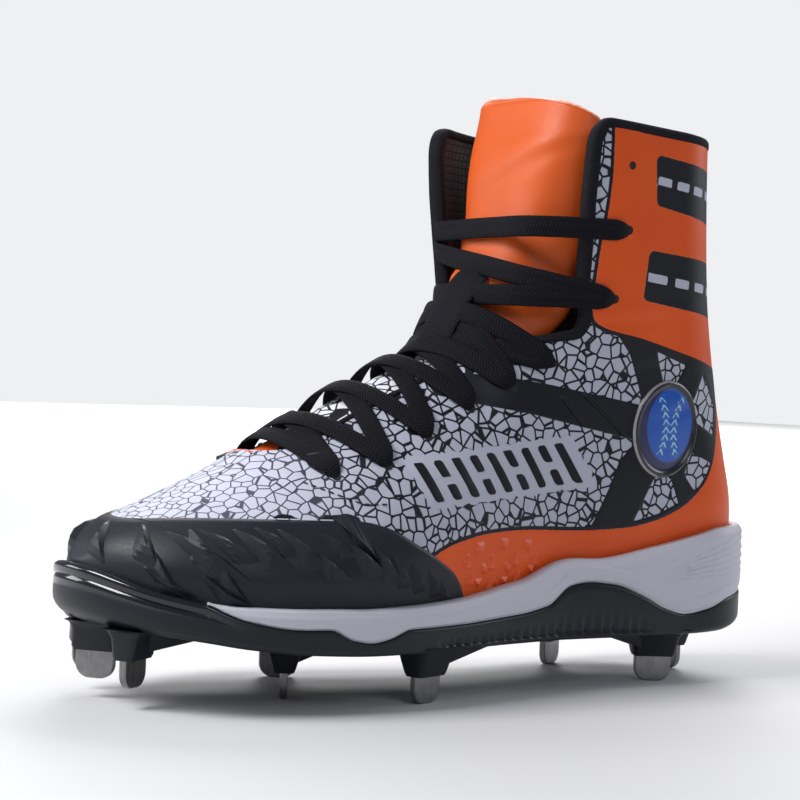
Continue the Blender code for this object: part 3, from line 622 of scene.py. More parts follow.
# Colours, linear
paint = {
    "orange": (0.80, 0.105, 0.011),
    "orangeDeep": (0.66, 0.074, 0.008),
    "ink": (0.006, 0.007, 0.012),
    "crackPale": (0.44, 0.45, 0.54),
    "crackWhite": (0.56, 0.57, 0.68),
    "haloPale": (0.46, 0.47, 0.56),
    "lace": (0.003, 0.003, 0.005),
    "foam": (0.58, 0.58, 0.65),
    "blue": (0.004, 0.085, 0.46),
    "navy": (0.012, 0.014, 0.075),
}


def crackle(finish, where, thin):
    # Irregular pale cells with dark lines; thin is 1 where the lines are fine and grey
    line = finish.cells(where, 222)
    width = 0.105 - thin * 0.035
    return 1 - finish.between(line / width, 0.55, 1.0)


def skinFinish():
    finish = Finish("printedSynthetic", paint["orange"], 0.42, Specular_IOR_Level=0.26)
    where = finish.place()
    orange, black, halo = finish.field("orange"), finish.field("black"), finish.field("halo")
    thin = finish.field("toeShare")
    cracks = crackle(finish, where, thin)
    grain = finish.noise(where, 900, 4, 0.6)
    wide = finish.noise(where, 22, 2)
    pale = finish.mix(thin, paint["crackPale"], paint["crackWhite"])
    dark = finish.mix(thin * 0.85, paint["ink"], (0.09, 0.09, 0.13))
    printed = finish.mix(cracks, pale, dark)
    printed = finish.mix(finish.between(halo, -0.2, 0.2), printed, paint["haloPale"])
    printed = finish.mix(finish.between(black, -0.15, 0.15), printed, paint["ink"])
    warm = finish.mix(wide, paint["orange"], paint["orangeDeep"])
    isOrange = finish.between(orange, -0.12, 0.12)
    colour = finish.mix(isOrange, printed, warm)
    rough = finish.between(grain, 0.3, 0.7, 0.40, 0.52) + isOrange * -0.04
    height = grain * 0.35 - cracks * (1 - isOrange) * finish.between(halo.higher(black), 0.1, -0.2) * 0.8
    return finish.feed(
        Base_Color=colour, Roughness=rough, Normal=finish.bump(height, 0.12 * mm, 0.7)
    )


def liningFinish():
    # Black mesh of small raised squares, the squares painted lighter and the grooves darker as painted
    # highlight and shade
    finish = Finish("squareMesh", (0.012, 0.012, 0.015), 0.8)
    along, across = finish.uv(3.0)
    fromMiddle = (along.math("FRACT") - 0.5).size(), (across.math("FRACT") - 0.5).size()
    pad = finish.between(fromMiddle[0].higher(fromMiddle[1]), 0.46, 0.34)
    fine = finish.noise(finish.place(), 2600, 2)
    # Painted highlight and shade: a lighter black on the raised squares, a deeper black in the grooves
    colour = finish.mix(pad, (0.004, 0.004, 0.006), (0.030, 0.032, 0.040))
    return finish.feed(
        Base_Color=colour, Normal=finish.bump(pad + fine * 0.25, 0.35 * mm, 0.9)
    )


def guardFinish():
    finish = Finish("guardRubber", (0.010, 0.011, 0.015), 0.36, Specular_IOR_Level=0.3)
    where = finish.place()
    grain = finish.noise(where, 1500, 3)
    wide = finish.noise(where, 60, 3)
    colour = finish.mix(wide, (0.009, 0.011, 0.017), (0.014, 0.017, 0.025))
    rough = finish.between(grain, 0.3, 0.7, 0.40, 0.54)
    return finish.feed(
        Base_Color=colour, Roughness=rough, Normal=finish.bump(grain, 0.05 * mm, 0.5)
    )


def tongueFinish():
    finish = Finish("tongueSatin", paint["orange"], 0.5, Specular_IOR_Level=0.4)
    where = finish.place()
    low = finish.field("printShare")
    cracks = crackle(finish, where, 0.0)
    weave = finish.noise(where, 2200, 2)
    wide = finish.noise(where, 18, 2)
    warm = finish.mix(wide, (0.68, 0.104, 0.006), (0.50, 0.066, 0.004))
    printed = finish.mix(cracks, (0.78, 0.78, 0.86), paint["ink"])
    share = finish.between(low, -0.2, 0.2)
    colour = finish.mix(share, warm, printed)
    return finish.feed(
        Base_Color=colour, Roughness=finish.between(weave, 0.3, 0.7, 0.38, 0.56),
        Normal=finish.bump(weave, 0.12 * mm, 0.8),
    )


def laceFinish(name, colour, pitch):
    # Flat weave in zigzag ribs along the lace, pitch mm apart; the raised threads carry a painted
    # highlight
    finish = Finish(name, colour, 0.75, Specular_IOR_Level=0.14)
    along, across = finish.uv(pitch)
    zig = (across * 0.62).math("PINGPONG", 1.0)
    ribs = ((along + zig * 0.9).math("FRACT") - 0.5).size()
    cross = ((across * 1.7).math("FRACT") - 0.5).size()
    thread = finish.between(ribs, 0.08, 0.42) * (0.7 + cross * 0.6)
    fuzz = finish.noise(finish.place(), 3000, 2)
    # Painted highlight: the raised threads get a lighter colour than the thread itself, and the hollows
    # between them keep the dark colour as painted shade
    threadHighlight = tuple(c * 2.2 + 0.004 for c in colour)
    tint = finish.mix(thread * 0.8 + fuzz * 0.2, colour, threadHighlight)
    return finish.feed(
        Base_Color=tint, Normal=finish.bump(thread + fuzz * 0.3, 0.30 * mm, 0.9)
    )


def foamFinish():
    finish = Finish("midsoleFoam", paint["foam"], 0.5)
    where = finish.place()
    grain = finish.noise(where, 700, 4, 0.6)
    wide = finish.noise(where, 14, 3)
    colour = finish.mix(wide, paint["foam"], tuple(c * 0.90 for c in paint["foam"]))
    return finish.feed(
        Base_Color=colour, Roughness=finish.between(grain, 0.3, 0.7, 0.44, 0.56),
        Normal=finish.bump(grain, 0.06 * mm, 0.5),
    )


def outsoleFinish():
    # Glossy at the toe bumper's top, satin elsewhere
    finish = Finish("outsolePlastic", (0.007, 0.009, 0.014), 0.3, Specular_IOR_Level=0.35)
    gloss = finish.field("gloss")
    grain = finish.noise(finish.place(), 1200, 3)
    return finish.feed(
        Roughness=finish.between(gloss, 0, 1, 0.38, 0.14) + grain * 0.05,
        Coat_Weight=gloss * 0.5, Normal=finish.bump(grain, 0.03 * mm, 0.35),
    )


def steelFinish():
    finish = Finish("brushedSteel", (0.23, 0.23, 0.235), 0.34, Metallic=1.0)
    streak = finish.noise(finish.place((1, 1, 0.04)), 3800, 2)
    worn = finish.noise(finish.place(), 260, 4)
    colour = finish.mix(worn, (0.17, 0.17, 0.175), (0.32, 0.315, 0.31))
    return finish.feed(
        Base_Color=colour, Roughness=finish.between(streak, 0.3, 0.7, 0.26, 0.44),
        Normal=finish.bump(streak, 0.03 * mm, 0.5),
    )


def plainFinish(name, colour, roughness, grainSize=900, depth=0.05 * mm):
    finish = Finish(name, colour, roughness)
    grain = finish.noise(finish.place(), grainSize, 3)
    tint = finish.mix(grain, colour, tuple(c * 1.35 for c in colour))
    return finish.feed(Base_Color=tint, Normal=finish.bump(grain, depth, 0.6))


def badgeFinish():
    finish = Finish("badgeInlay", paint["ink"], 0.3, Coat_Weight=0.3, Coat_Roughness=0.2)
    ring, disc = finish.field("radius"), finish.field("disc")
    seam = finish.field("seam")
    blue = finish.mix(finish.between(disc, -0.2, 0.2), paint["navy"], paint["blue"])
    blue = finish.mix(finish.between(seam, -0.05, 0.1), blue, (0.32, 0.60, 0.75))
    colour = finish.mix(finish.between(ring, 0.815, 0.83), blue, paint["ink"])
    colour = finish.mix(
        finish.between((ring - 0.955).size(), 0.022, 0.012), colour, (0.36, 0.33, 0.38)
    )
    grain = finish.noise(finish.place(), 1400, 2)
    return finish.feed(Base_Color=colour, Normal=finish.bump(grain, 0.04 * mm, 0.5))


print("finishes")
finishes = {
    "skin": skinFinish(),
    "lining": liningFinish(),
    "guard": guardFinish(),
    "tongue": tongueFinish(),
    "lace": laceFinish("wovenLace", paint["lace"], 1.15),
    "binding": laceFinish("edgeBinding", (0.005, 0.005, 0.008), 0.9),
    "keeper": laceFinish("keeperWebbing", (0.007, 0.007, 0.010), 1.0),
    "foam": foamFinish(),
    "outsole": outsoleFinish(),
    "steel": steelFinish(),
    "badge": badgeFinish(),
    "piping": plainFinish("blackPiping", (0.010, 0.010, 0.014), 0.45),
    "thread": plainFinish("stitchThread", (0.42, 0.06, 0.012), 0.6, 2500),
    "darkThread": plainFinish("darkThread", (0.02, 0.02, 0.026), 0.6, 2500),
    # The raised points' finish: a darker copy of the skin's orange, painted shade of the embossed points
    "orange": plainFinish("orangeWithPaintedShade", (0.66, 0.078, 0.009), 0.4),
    # Near-black for the eyelets: painted shade where the holes open
    "eyelet": plainFinish("eyeletHoleShade", (0.004, 0.004, 0.005), 0.7),
    "insole": plainFinish("insoleCloth", (0.015, 0.015, 0.018), 0.85, 1800, 0.15 * mm),
}

# The printed outer side, as outlines in mm seen from the side: (y, z)
panelFront = [
    (44, 222), (45.5, 205), (46, 192), (45.5, 180), (44.2, 168), (43.9, 155), (44, 145),
    (45.5, 140.5), (50, 137.8), (69.8, 134), (88, 130), (101, 127), (118, 123),
]
orangeTop = [
    (-34, 51), (-28, 54.5), (-19, 57.6), (-1, 60.6), (18, 61.4), (47, 60.6), (68.5, 61.4), (85, 64.3),
    (100, 70.2), (109.5, 78.8), (114, 87.5), (116, 95), (118, 106), (119, 116), (118, 123),
]
outerPrint = {
    "orangePanel": rounded(panelFront) + [(150, 118), (150, 230), (44, 230)],
    "orangeBand": rounded(orangeTop) + [(150, 118), (150, 20), (-40, 20)],
    "blackPanel": [
        (50, 138.6), (69.8, 134.8), (88, 130.8), (101, 127.8), (118, 123.6), (119, 116),
        (118, 106), (116, 95), (114, 87.5), (109.5, 78.8), (100, 70.2), (85, 64.3), (68.5, 61.4),
        (52, 61), (55, 67), (59.7, 77), (63.5, 87.3), (69, 93), (68.6, 95.8), (46, 99.7),
        (23.4, 104.1), (1, 107.2), (-14, 110), (-16, 118), (0, 118.6), (15, 117.4), (28.4, 115.8),
        (52, 112), (71, 109), (71, 112), (67.4, 120.1), (62.8, 128.4), (57, 134.5),
    ],
    "wedges": [
        [(76.9, 129.6), (93, 124.8), (88.6, 117), (82.6, 117)],
        [(104, 121.5), (101, 115), (98.5, 109), (100, 103.5), (113, 98), (114, 109)],
        [(100, 91), (113, 86.5), (111.5, 81), (104, 76), (98, 82)],
        [(82.5, 82), (90, 82), (96, 71), (86, 67), (73, 64)],
    ],
    # These grow by their corner radius
    "boxes": [
        [(69, 201), (89, 198.8), (106, 196.4), (126, 193.3), (126, 178.6), (106, 181.6), (92.6, 183.6),
         (71, 187)],
        [(69.8, 165.2), (96, 163.2), (112, 161.5), (130, 159.5), (130, 142.6), (112, 145.6),
         (99.6, 147.4), (69.2, 151)],
    ],
    "boxCorner": 2.5,
    "dashes": [
        [(68.3, 195.8), (75.5, 195.0), (75.5, 191.8), (68.3, 192.6)],
        [(78.4, 194.7), (84.8, 194.0), (84.8, 190.7), (78.4, 191.4)],
        [(87.6, 193.6), (94, 192.9), (94, 189.6), (87.6, 190.3)],
        [(97, 192.6), (103, 191.9), (103, 188.6), (97, 189.3)],
        [(68, 159.4), (78.3, 158.4), (78.3, 155.0), (68, 156.0)],
        [(82.4, 158.0), (89.8, 157.3), (89.8, 153.9), (82.4, 154.6)],
        [(93.3, 157.0), (100.4, 156.3), (100.4, 152.9), (93.3, 153.6)],
        [(104, 156), (110, 155.3), (110, 151.9), (104, 152.6)],
    ],
    "barsFrom": [(-34.4, 85.5), (39.5, 94.2), (50.5, 79.2), (-28.7, 72.0)],
    "slits": [[(36, 110.2), (45, 100.6)], [(45.7, 111.4), (64, 97.6)]],
}
# The raised points of the orange band's front corner, in mm: centre, height, half width, and
# 1 for a point that stands up or -1 for one that hangs
raisedPoints = (
    (-13, 51.5, 6.5, 2.2, 1), (-6, 54, 6.0, 2.0, -1), (0.5, 51, 7.0, 2.3, 1), (7.5, 55, 6.0, 1.9, -1),
    (14, 51.5, 6.5, 2.1, 1), (20.5, 54.5, 5.5, 1.8, -1), (26.5, 50.5, 6.0, 1.9, 1),
    (-9.5, 45, 5.5, 1.9, 1), (-2.5, 46.5, 5.5, 1.9, -1), (4, 44.5, 6.0, 2.0, 1),
    (11, 46.5, 5.5, 1.8, -1), (17.5, 44.5, 5.0, 1.7, 1), (-5, 42, 3.6, 1.8, -1),
    (2.5, 41.5, 3.6, 1.7, 1), (10, 42, 3.6, 1.6, -1), (24, 45.5, 4.5, 1.5, -1),
)
innerPiping = rounded([
    (-79, 83), (-62, 87.5), (-38, 89.5), (-14, 86), (8, 76), (24, 61), (36, 42), (40, 30),
])
# Soft creases at the ankle's back and where the shaft bends: centre, turn, half length, depth
skinCreases = (
    (62, 140, 0.10, 26, 0.30), (70, 122, 0.22, 22, 0.22), (28, 126, -0.5, 14, 0.35),
    (84, 150, 0.05, 20, 0.25), (96, 108, 0.3, 16, 0.2), (-52, 74, 0.6, 12, 0.25),
)


def bars(count=9):
    # Slanted bars across the side, whole and split in turn
    topLeft, topRight, footRight, footLeft = (np.array(c, float) for c in outerPrint["barsFrom"])
    made = []
    for k in range(count):
        edges = []
        for t in ((k + 0.12) / count, (k + 0.62) / count):
            top, foot = topLeft + (topRight - topLeft) * t, footLeft + (footRight - footLeft) * t
            edges.append((top, foot - top))
        (left, leftDown), (right, rightDown) = edges
        for low, high in ((0, 0.42), (0.60, 1)) if k % 2 else ((0, 1),):
            made.append([
                tuple(left + leftDown * low), tuple(right + rightDown * low),
                tuple(right + rightDown * high), tuple(left + leftDown * high),
            ])
    return made


def skinFields(points):
    # Distances in mm to each printed edge, positive inside, and the relief of the layers
    flat = points[:, 1:] / mm
    left = np.interp(rightEdge[:, 1], leftEdge[:, 1], leftEdge[:, 0])
    centre = np.interp(points[:, 1], rightEdge[:, 1], (rightEdge[:, 0] + left) / 2)
    outer = (points[:, 0] - centre) / mm
    side = outer > 0
    front = points[:, 1] / mm
    wrap = np.where(front > 90, outer - 4.0, 99)
    # Outer side: the black panel less its wedges, the boxes less their dashes, the bars
    orangeOut = np.maximum(
        polygonDistance(flat, outerPrint["orangePanel"]), polygonDistance(flat, outerPrint["orangeBand"])
    )
    panel = polygonDistance(flat, outerPrint["blackPanel"])
    for wedge in outerPrint["wedges"]:
        panel = np.minimum(panel, -polygonDistance(flat, wedge))
    border = 0.75 - np.abs(orangeOut + 0.75)
    boxes = np.maximum.reduce([polygonDistance(flat, box) for box in outerPrint["boxes"]])
    boxes = np.minimum(boxes + outerPrint["boxCorner"], wrap)
    dashes = np.maximum.reduce([polygonDistance(flat, dash) for dash in outerPrint["dashes"]])
    bar = np.maximum.reduce([polygonDistance(flat, one) for one in bars()])
    ripple = 0.7 * np.sin(flat[:, 0] * 0.9) * np.sin(flat[:, 1] * 1.3)
    halo = polygonDistance(flat, outerPrint["barsFrom"]) + 2.2 + ripple
    black = np.maximum.reduce([panel, border, np.minimum(boxes, -dashes), np.minimum(bar, halo)])
    orange = np.minimum(orangeOut, -boxes)
    halo = np.maximum(halo, dashes)
    # Inner side: orange above the piping
    orangeIn = polygonDistance(flat, innerPiping + [(36, 10), (160, 10), (160, 240), (-79, 240)])
    soft = ease(outer, -3, 3)
    rear = orangeIn * (1 - soft) + orange * soft
    orange = np.where(front > 60, rear, np.where(side, orange, orangeIn))
    none = -9.0
    fields = {
        "orange": orange,
        "black": np.where(side, black, none),
        "halo": np.where(side, halo, none),
        "toeShare": ease(front, -40, -95),
    }
    slit = np.minimum.reduce([lineDistance(flat, one) for one in outerPrint["slits"]])
    # Layers stand a little proud of each other
    lift = ease(panel, -0.4, 0.6) * 0.35 + ease(np.minimum(bar, halo), -0.3, 0.4) * 0.25
    lift += ease(orangeOut, -0.2, 0.8) * 0.22 - (1 - ease(slit, 0.3, 1.3)) * 0.85
    lift = np.where(side, lift, ease(orangeIn, 0.0, 1.2) * 0.35)
    for cy, cz, turn, long, depth in skinCreases:
        du = (flat[:, 0] - cy) * math.cos(turn) + (flat[:, 1] - cz) * math.sin(turn)
        dv = -(flat[:, 0] - cy) * math.sin(turn) + (flat[:, 1] - cz) * math.cos(turn)
        lift -= depth * np.exp(-((du / long) ** 2) - (dv / 2.6) ** 2)
        lift += depth * 0.6 * np.exp(-((du / long) ** 2) - ((dv - 4.5) / 3.2) ** 2)
    return fields, lift * mm


# Upper: its rows run from the toe to the collar, closest in the throat's notch at the ankle
upper = {
    "first": 0.3, "notch": (11.2, 12.8), "step": 0.084, "skinColumns": (180, 104),
    "liningFirst": 1.5, "liningStep": 0.2, "liningColumns": (48, 48), "middle": (0, 0.02, 0.08),
}


def rowSteps(*spans):
    # Rows in spans of their own spacing: first, last, step
    return np.concatenate([np.arange(*span) for span in spans])


def bothSides(name, rows, columns, start, finish):
    # One mesh of both half sections of each row, and how far down each point lies
    points, faces, down = [], [], []
    for side, count in zip((1, -1), columns):
        share = np.linspace(0, 1, count)
        faces.extend(gridFaces(len(rows), count, first=len(points), flip=side < 0))
        for row in rows:
            near, far = start(row, side), finish(row, side)
            line = onSection(row, side, near + (far - near) * share)
            points.extend(line)
            down.extend(runOf(line))
    return meshFrom(name, points, faces), np.array(points), np.array(down)


def sectionEnd(row, side):
    return storedSection(row, side)[1][-1]


def buildSkin():
    # The outer skin, dense enough to carry its printed edges as fields
    step, (low, high) = upper["step"], upper["notch"]
    rows = rowSteps(
        (upper["first"], low, step), (low, high, step / 3), (high, 14.5, step), (14.5, 19.6, step * 0.6)
    )
    rows = np.append(rows, np.linspace(19.6, shoe["collarRow"], 14))
    mesh = bothSides("upperSkin", rows, upper["skinColumns"], throatDistance, sectionEnd)[0]
    weld(mesh)
    turnOut(mesh)
    place, normal = pointsOf(mesh), normalsFrom(mesh, upper["middle"])
    fields, lift = skinFields(place)
    for name, values in fields.items():
        setField(mesh, name, values)
    setPoints(mesh, place + normal * lift[:, None])
    mesh.shade_smooth()
    return newObject("upperSkin", mesh, "upper", ("upper",), finishes["skin"])


def buildLining():
    # The inner face, a wall's thickness in, with mesh all over
    step, (low, high) = upper["liningStep"], upper["notch"]
    rows = rowSteps(
        (upper["liningFirst"], low, step), (low, high, step * 0.3), (high, 20.01, step * 0.6)
    )
    mesh, points, down = bothSides(
        "lining", rows, upper["liningColumns"], throatDistance, sectionEnd
    )
    setUv(mesh, np.column_stack([points[:, 2], down]))
    weld(mesh)
    place, normal = pointsOf(mesh), normalsFrom(mesh, upper["middle"], -1)
    setPoints(mesh, place + normal * wallAt(place[:, 2])[:, None])
    mesh.shade_smooth()
    newObject("lining", mesh, "insole", (), finishes["lining"])


def edgePath(side):
    # The throat and flap edge of one side, from the toe end up to the collar
    rows = rowSteps((6.92, 11.2, 0.06), (11.2, 12.9, 0.02), (12.9, 20.001, 0.05))
    return np.array([onSection(row, side, [throatDistance(row, side)])[0] for row in rows])


def resample(line, step):
    line = np.asarray(line)
    run = runOf(line)
    at = np.linspace(0, run[-1], max(3, int(run[-1] / step)))
    return np.column_stack([np.interp(at, run, column) for column in line.T])


def smoothed(line, times, closed=False):
    line = np.array(line)
    for _ in range(times):
        if closed:
            line = (np.roll(line, 1, 0) + 2 * line + np.roll(line, -1, 0)) / 4
        else:
            line[1:-1] = (line[:-2] + 2 * line[1:-1] + line[2:]) / 4
    return line


binding = {
    "flapWidth": 3.4 * mm, "footWidth": 1.7 * mm, "collarWidth": 2.6 * mm, "rise": 0.55 * mm,
    "tuck": 0.3 * mm, "round": 0.7 * mm, "over": 1.1 * mm, "pointStep": 0.9 * mm,
}


def buildBinding(skinTree):
    # A strip folded over the edge of the throat, the flaps and the collar
    right, left = edgePath(1), edgePath(-1)
    top = shoe["collarRow"]
    collarRight, collarLeft = (
        onSection(top, side, np.linspace(throatDistance(top, side), sectionEnd(top, side), 60))
        for side in (1, -1)
    )
    toe = (right[:1] + left[:1]) / 2
    loop = np.vstack([right, collarRight[1:], collarLeft[-2:0:-1], left[::-1], toe])
    loop = resample(np.vstack([loop, loop[:1]]), binding["pointStep"])[:-1]
    loop = smoothed(loop, 5, True)
    along = unit(np.roll(loop, -1, 0) - np.roll(loop, 1, 0))
    normal = np.array([skinTree.find_nearest(Vector(p))[1] for p in loop])
    normal = unit(smoothed(normal, 14, True))
    into = unit(np.cross(normal, along))
    # The skin is nearer on the side that points into it
    reach = [
        sum(skinTree.find_nearest(Vector(p + d * way * 2 * mm))[3] for p, d in zip(loop, into))
        for way in (1, -1)
    ]
    if reach[0] > reach[1]:
        into = -into
    z, y, collar = loop[:, 2], loop[:, 1], shoe["collar"]
    isCollar = np.maximum(ease(z, collar - 5 * mm, collar - 1 * mm), ease(y, 0.052, 0.060))
    isFlap = ease(z, 0.130, 0.140) * (1 - ease(z, collar - 6 * mm, collar - 1 * mm))
    isFlap = isFlap * (1 - isCollar)
    width = binding["footWidth"] + (binding["flapWidth"] - binding["footWidth"]) * isFlap
    width = width + (binding["collarWidth"] - binding["footWidth"]) * isCollar
    rise, tuck = binding["rise"], binding["tuck"]
    near, over = -binding["round"], -binding["over"]
    rings, uv = [], []
    for p, n, d, w, t, at in zip(loop, normal, into, width, wallAt(z), runOf(loop)):
        # Across the strip: how far into the skin, and how far above its face
        profile = np.array([p + d * a + n * h for a, h in (
            (w, -tuck), (w, rise * 0.6), (w * 0.8, rise * 1.1), (w * 0.4, rise * 1.2),
            (0, rise * 1.1), (near, rise * 0.3), (over, -t * 0.3), (over, -t * 0.7),
            (near, -t - rise * 0.3), (0, -t - rise), (w * 0.5, -t - rise * 1.2),
            (w, -t - rise), (w, tuck - t), (w * 0.5, -t * 0.5),
        )])
        rings.append(profile)
        uv.append(np.column_stack([np.full(len(profile), at), runOf(profile)]))
    rings = np.array(rings)
    count, around = rings.shape[:2]
    faces = gridFaces(count + 1, around, wrap=True) % (count * around)
    mesh = meshFrom("edgeBinding", rings.reshape(-1, 3), faces)
    setUv(mesh, np.vstack(uv))
    turnOut(mesh)
    mesh.shade_smooth()
    newObject("edgeBinding", mesh, "lace", (), finishes["binding"])


print("upper")
skin = buildSkin()
skinTree = treeOf(skin.data)
buildLining()
buildBinding(skinTree)


def onSide(y, z, side):
    # Point and normal of the skin's outer or inner side at a place seen from the side, in mm
    start = Vector((side * 0.2, y * mm, z * mm))
    hit = skinTree.ray_cast(start, Vector((-side, 0, 0)))
    return np.array(hit[0]), np.array(hit[1])


# Toe guard: moulded rubber with pointed facets
guard = {
    "outerTop": [
        (-150, 61), (-135, 63), (-120, 65.2), (-104, 66), (-88, 66.2), (-61, 66), (-50, 63.6),
        (-40, 58.6), (-28, 52.6), (-17, 45.5), (-11.5, 38), (-8, 20),
    ],
    "innerTop": [
        (-150, 61), (-135, 63), (-120, 65.2), (-106, 65.8), (-90, 64.5), (-74, 61), (-62, 55),
        (-51, 47), (-42, 37), (-38, 20),
    ],
    "rows": (0.9, 8.9, 0.045), "columns": (60, 60), "middle": (0, -0.05, 0.03),
    "thick": 1.25 * mm, "edgeRound": 1.6, "sunk": 0.25 * mm, "underRim": 2.5 * mm,
    "relief": 2.0, "peak": (0.46, 0.38, 0.16), "shardSunk": 0.15 * mm,
}
# Shards seen from the side, in mm: start on the upper edge, tip, foot corner, height
sideShards = (
    ((-136, 61), (-112, 46), (-128, 48), 1.7), ((-127, 62), (-101, 45), (-116, 45), 1.9),
    ((-117, 63), (-99, 52), (-109, 51), 1.6), ((-107, 64), (-87, 49), (-99, 48), 1.9),
    ((-100, 64.5), (-85, 55), (-93, 53), 1.4), ((-93, 64.5), (-75, 50), (-86, 49), 1.8),
    ((-121, 50), (-98, 35), (-112, 36), 1.8), ((-108, 48), (-90, 32), (-101, 33), 1.8),
    ((-99, 48), (-80, 32), (-92, 33), 1.8), ((-90, 48), (-70, 32), (-83, 33), 1.7),
    ((-84, 58), (-66, 46), (-77, 45), 1.6), ((-80, 64), (-64, 54), (-73, 53), 1.5),
    ((-80, 46), (-62, 32), (-73, 32), 1.7), ((-70, 61), (-52, 48), (-63, 46), 1.6),
    ((-70, 45), (-54, 32), (-64, 32), 1.6), ((-60, 60), (-46, 46), (-55, 45), 1.5),
    ((-60, 44), (-47, 33), (-55, 32), 1.4), ((-52, 57), (-40, 43), (-48, 42), 1.4),
    ((-50, 42), (-39, 33), (-46, 32), 1.3), ((-43, 54), (-33, 41), (-40, 40), 1.3),
    ((-40, 40), (-30, 32), (-36, 31), 1.1), ((-34, 50), (-24, 39), (-31, 38), 1.1),
    ((-27, 46), (-18, 36), (-25, 35), 1.0), ((-135, 51), (-118, 40), (-128, 40), 1.6),
)
# Shards round the toe, in two rows of three corners each: rays from inside the toe find
# their places, by degrees of turn from the front and of tilt above level
toeShards = {
    "from": (-7, -92, 34), "turns": range(-84, 62, 12), "height": 3.0,
    "tilts": ((37, 15), (25, 3)), "swings": (0, 19, 4),
}


def shard(shape, tree, corners, height, steps=9):
    # A faceted three-sided form on a surface: its peak is near the long edge
    index = {}
    for i in range(steps + 1):
        for j in range(steps + 1 - i):
            weights = np.array([i, j, steps - i - j]) / steps
            point, normal = tree.find_nearest(Vector(weights @ np.array(corners)))[:2]
            rise = min(weights / guard["peak"]) * height * mm - guard["shardSunk"]
            index[i, j] = shape.verts.new(point + normal * rise)
    for i in range(steps):
        for j in range(steps - i):
            shape.faces.new((index[i, j], index[i + 1, j], index[i, j + 1]))
            if i + j < steps - 1:
                shape.faces.new((index[i + 1, j], index[i + 1, j + 1], index[i, j + 1]))


def finishShards(shape, name, slot, material, tree):
    shape.normal_update()
    for face in shape.faces:
        if face.normal.dot(tree.find_nearest(face.calc_center_median())[1]) < 0:
            face.normal_flip()
    mesh = bpy.data.meshes.new(name)
    shape.to_mesh(mesh)
    shape.free()
    mesh.shade_smooth()
    mesh.set_sharp_from_angle(angle=math.radians(9))
    newObject(name, mesh, slot, (), material)


def guardStart(row, side):
    points, run = storedSection(row, side)
    line = np.array(rounded(guard["outerTop" if side > 0 else "innerTop"])) * mm
    over = points[:, 2] - np.interp(points[:, 1], line[:, 0], line[:, 1])
    hits = np.nonzero((over[:-1] > 0) & (over[1:] <= 0))[0]
    if len(hits) == 0:
        return 0.0 if over[0] < 0 else guardEnd(row, side)
    i = hits[-1]
    return float(run[i] + over[i] / (over[i] - over[i + 1]) * (run[i + 1] - run[i]))


def guardEnd(row, side):
    points, run = storedSection(row, side)
    rim = rimZ(np.clip(0.5 - points[:, 1] / shoe["length"], 0, 1)) - guard["underRim"]
    below = np.nonzero(points[:, 2] < rim)[0]
    return float(run[below[0]]) if len(below) else float(run[-1])


def buildGuard():
    rows = rowSteps(guard["rows"])
    mesh = bothSides("toeGuard", rows, guard["columns"], guardStart, guardEnd)[0]
    weld(mesh)
    place, normal = pointsOf(mesh), normalsFrom(mesh, guard["middle"])
    edges = []
    for name in ("outerTop", "innerTop"):
        top = rounded(guard[name])
        around = top + [(top[-1][0], -20), (-170, -20), (-170, top[0][1])]
        edges.append(polygonDistance(place[:, 1:] / mm, around))
    # The edge is rounded down on to the skin
    edge = np.where(place[:, 0] > -0.008, *edges)
    height = guard["thick"] * np.sqrt(np.clip(edge / guard["edgeRound"], 0, 1))
    setPoints(mesh, place + normal * (height - guard["sunk"])[:, None])
    mesh.shade_smooth()
    return newObject("toeGuard", mesh, "toe_guard", ("toe_guard",), finishes["guard"])


print("toe guard")
guardPiece = buildGuard()
guardTree = treeOf(guardPiece.data)


def buildGuardShards():
    shape = bmesh.new()
    for side in (1, -1):
        for *flat, height in sideShards:
            if side < 0 and flat[1][0] > -50:
                continue  # the inner side's guard ends sooner
            corners = [
                guardTree.ray_cast(Vector((side * 0.2, y * mm, z * mm)), Vector((-side, 0, 0)))[0]
                for y, z in flat
            ]
            if all(corners):
                shard(shape, guardTree, corners, height * guard["relief"])
    origin = Vector(toeShards["from"]) * mm
    for k, turn in enumerate(toeShards["turns"]):
        high, low = toeShards["tilts"][(k + 1) % 2]
        corners = []
        for swing, tilt in zip(toeShards["swings"], (high, low, low + 4)):
            a, e = math.radians(turn + swing), math.radians(tilt)
            way = Vector((math.sin(a) * math.cos(e), -math.cos(a) * math.cos(e), math.sin(e)))
            corners.append(guardTree.ray_cast(origin, way)[0])
        if all(corners):
            shard(shape, guardTree, corners, toeShards["height"])
    finishShards(shape, "guardShards", "toe_guard", finishes["guard"], guardTree)


buildGuardShards()


pointSize = {"wide": 1.9, "tall": 1.35, "lean": 0.8, "relief": 1.6, "steps": 5}


def buildRaisedPoints():
    shape = bmesh.new()
    for y, z, height, half, way in raisedPoints:
        half, up = half * pointSize["wide"], way * height * pointSize["tall"] / 2
        flat = ((y - half, z - up), (y + pointSize["lean"], z + up), (y + half, z - up))
        corners = [Vector(onSide(u, v, 1)[0]) for u, v in flat]
        shard(shape, skinTree, corners, pointSize["relief"], pointSize["steps"])
    # A darker orange than the skin, as painted shade on the raised points
    finishShards(shape, "raisedPoints", "upper", finishes["orange"], skinTree)


buildRaisedPoints()

# Tongue: padded satin, folded at the ankle
tongue = {
    "columns": 80, "rowStep": 0.09, "edgeRound": 0.14, "bulge": 1.4, "printed": (7.15, 11.35),
    # Each fold: row, depth mm, width in rows, bend across
    "folds": (
        (13.2, -1.8, 0.40, 0.5), (14.0, 1.4, 0.45, 0.4), (15.1, -1.6, 0.32, -0.6),
        (18.3, 1.1, 0.8, 0.9), (16.9, -1.1, 0.40, -1.1), (17.7, -0.7, 0.35, 1.4),
    ),
}


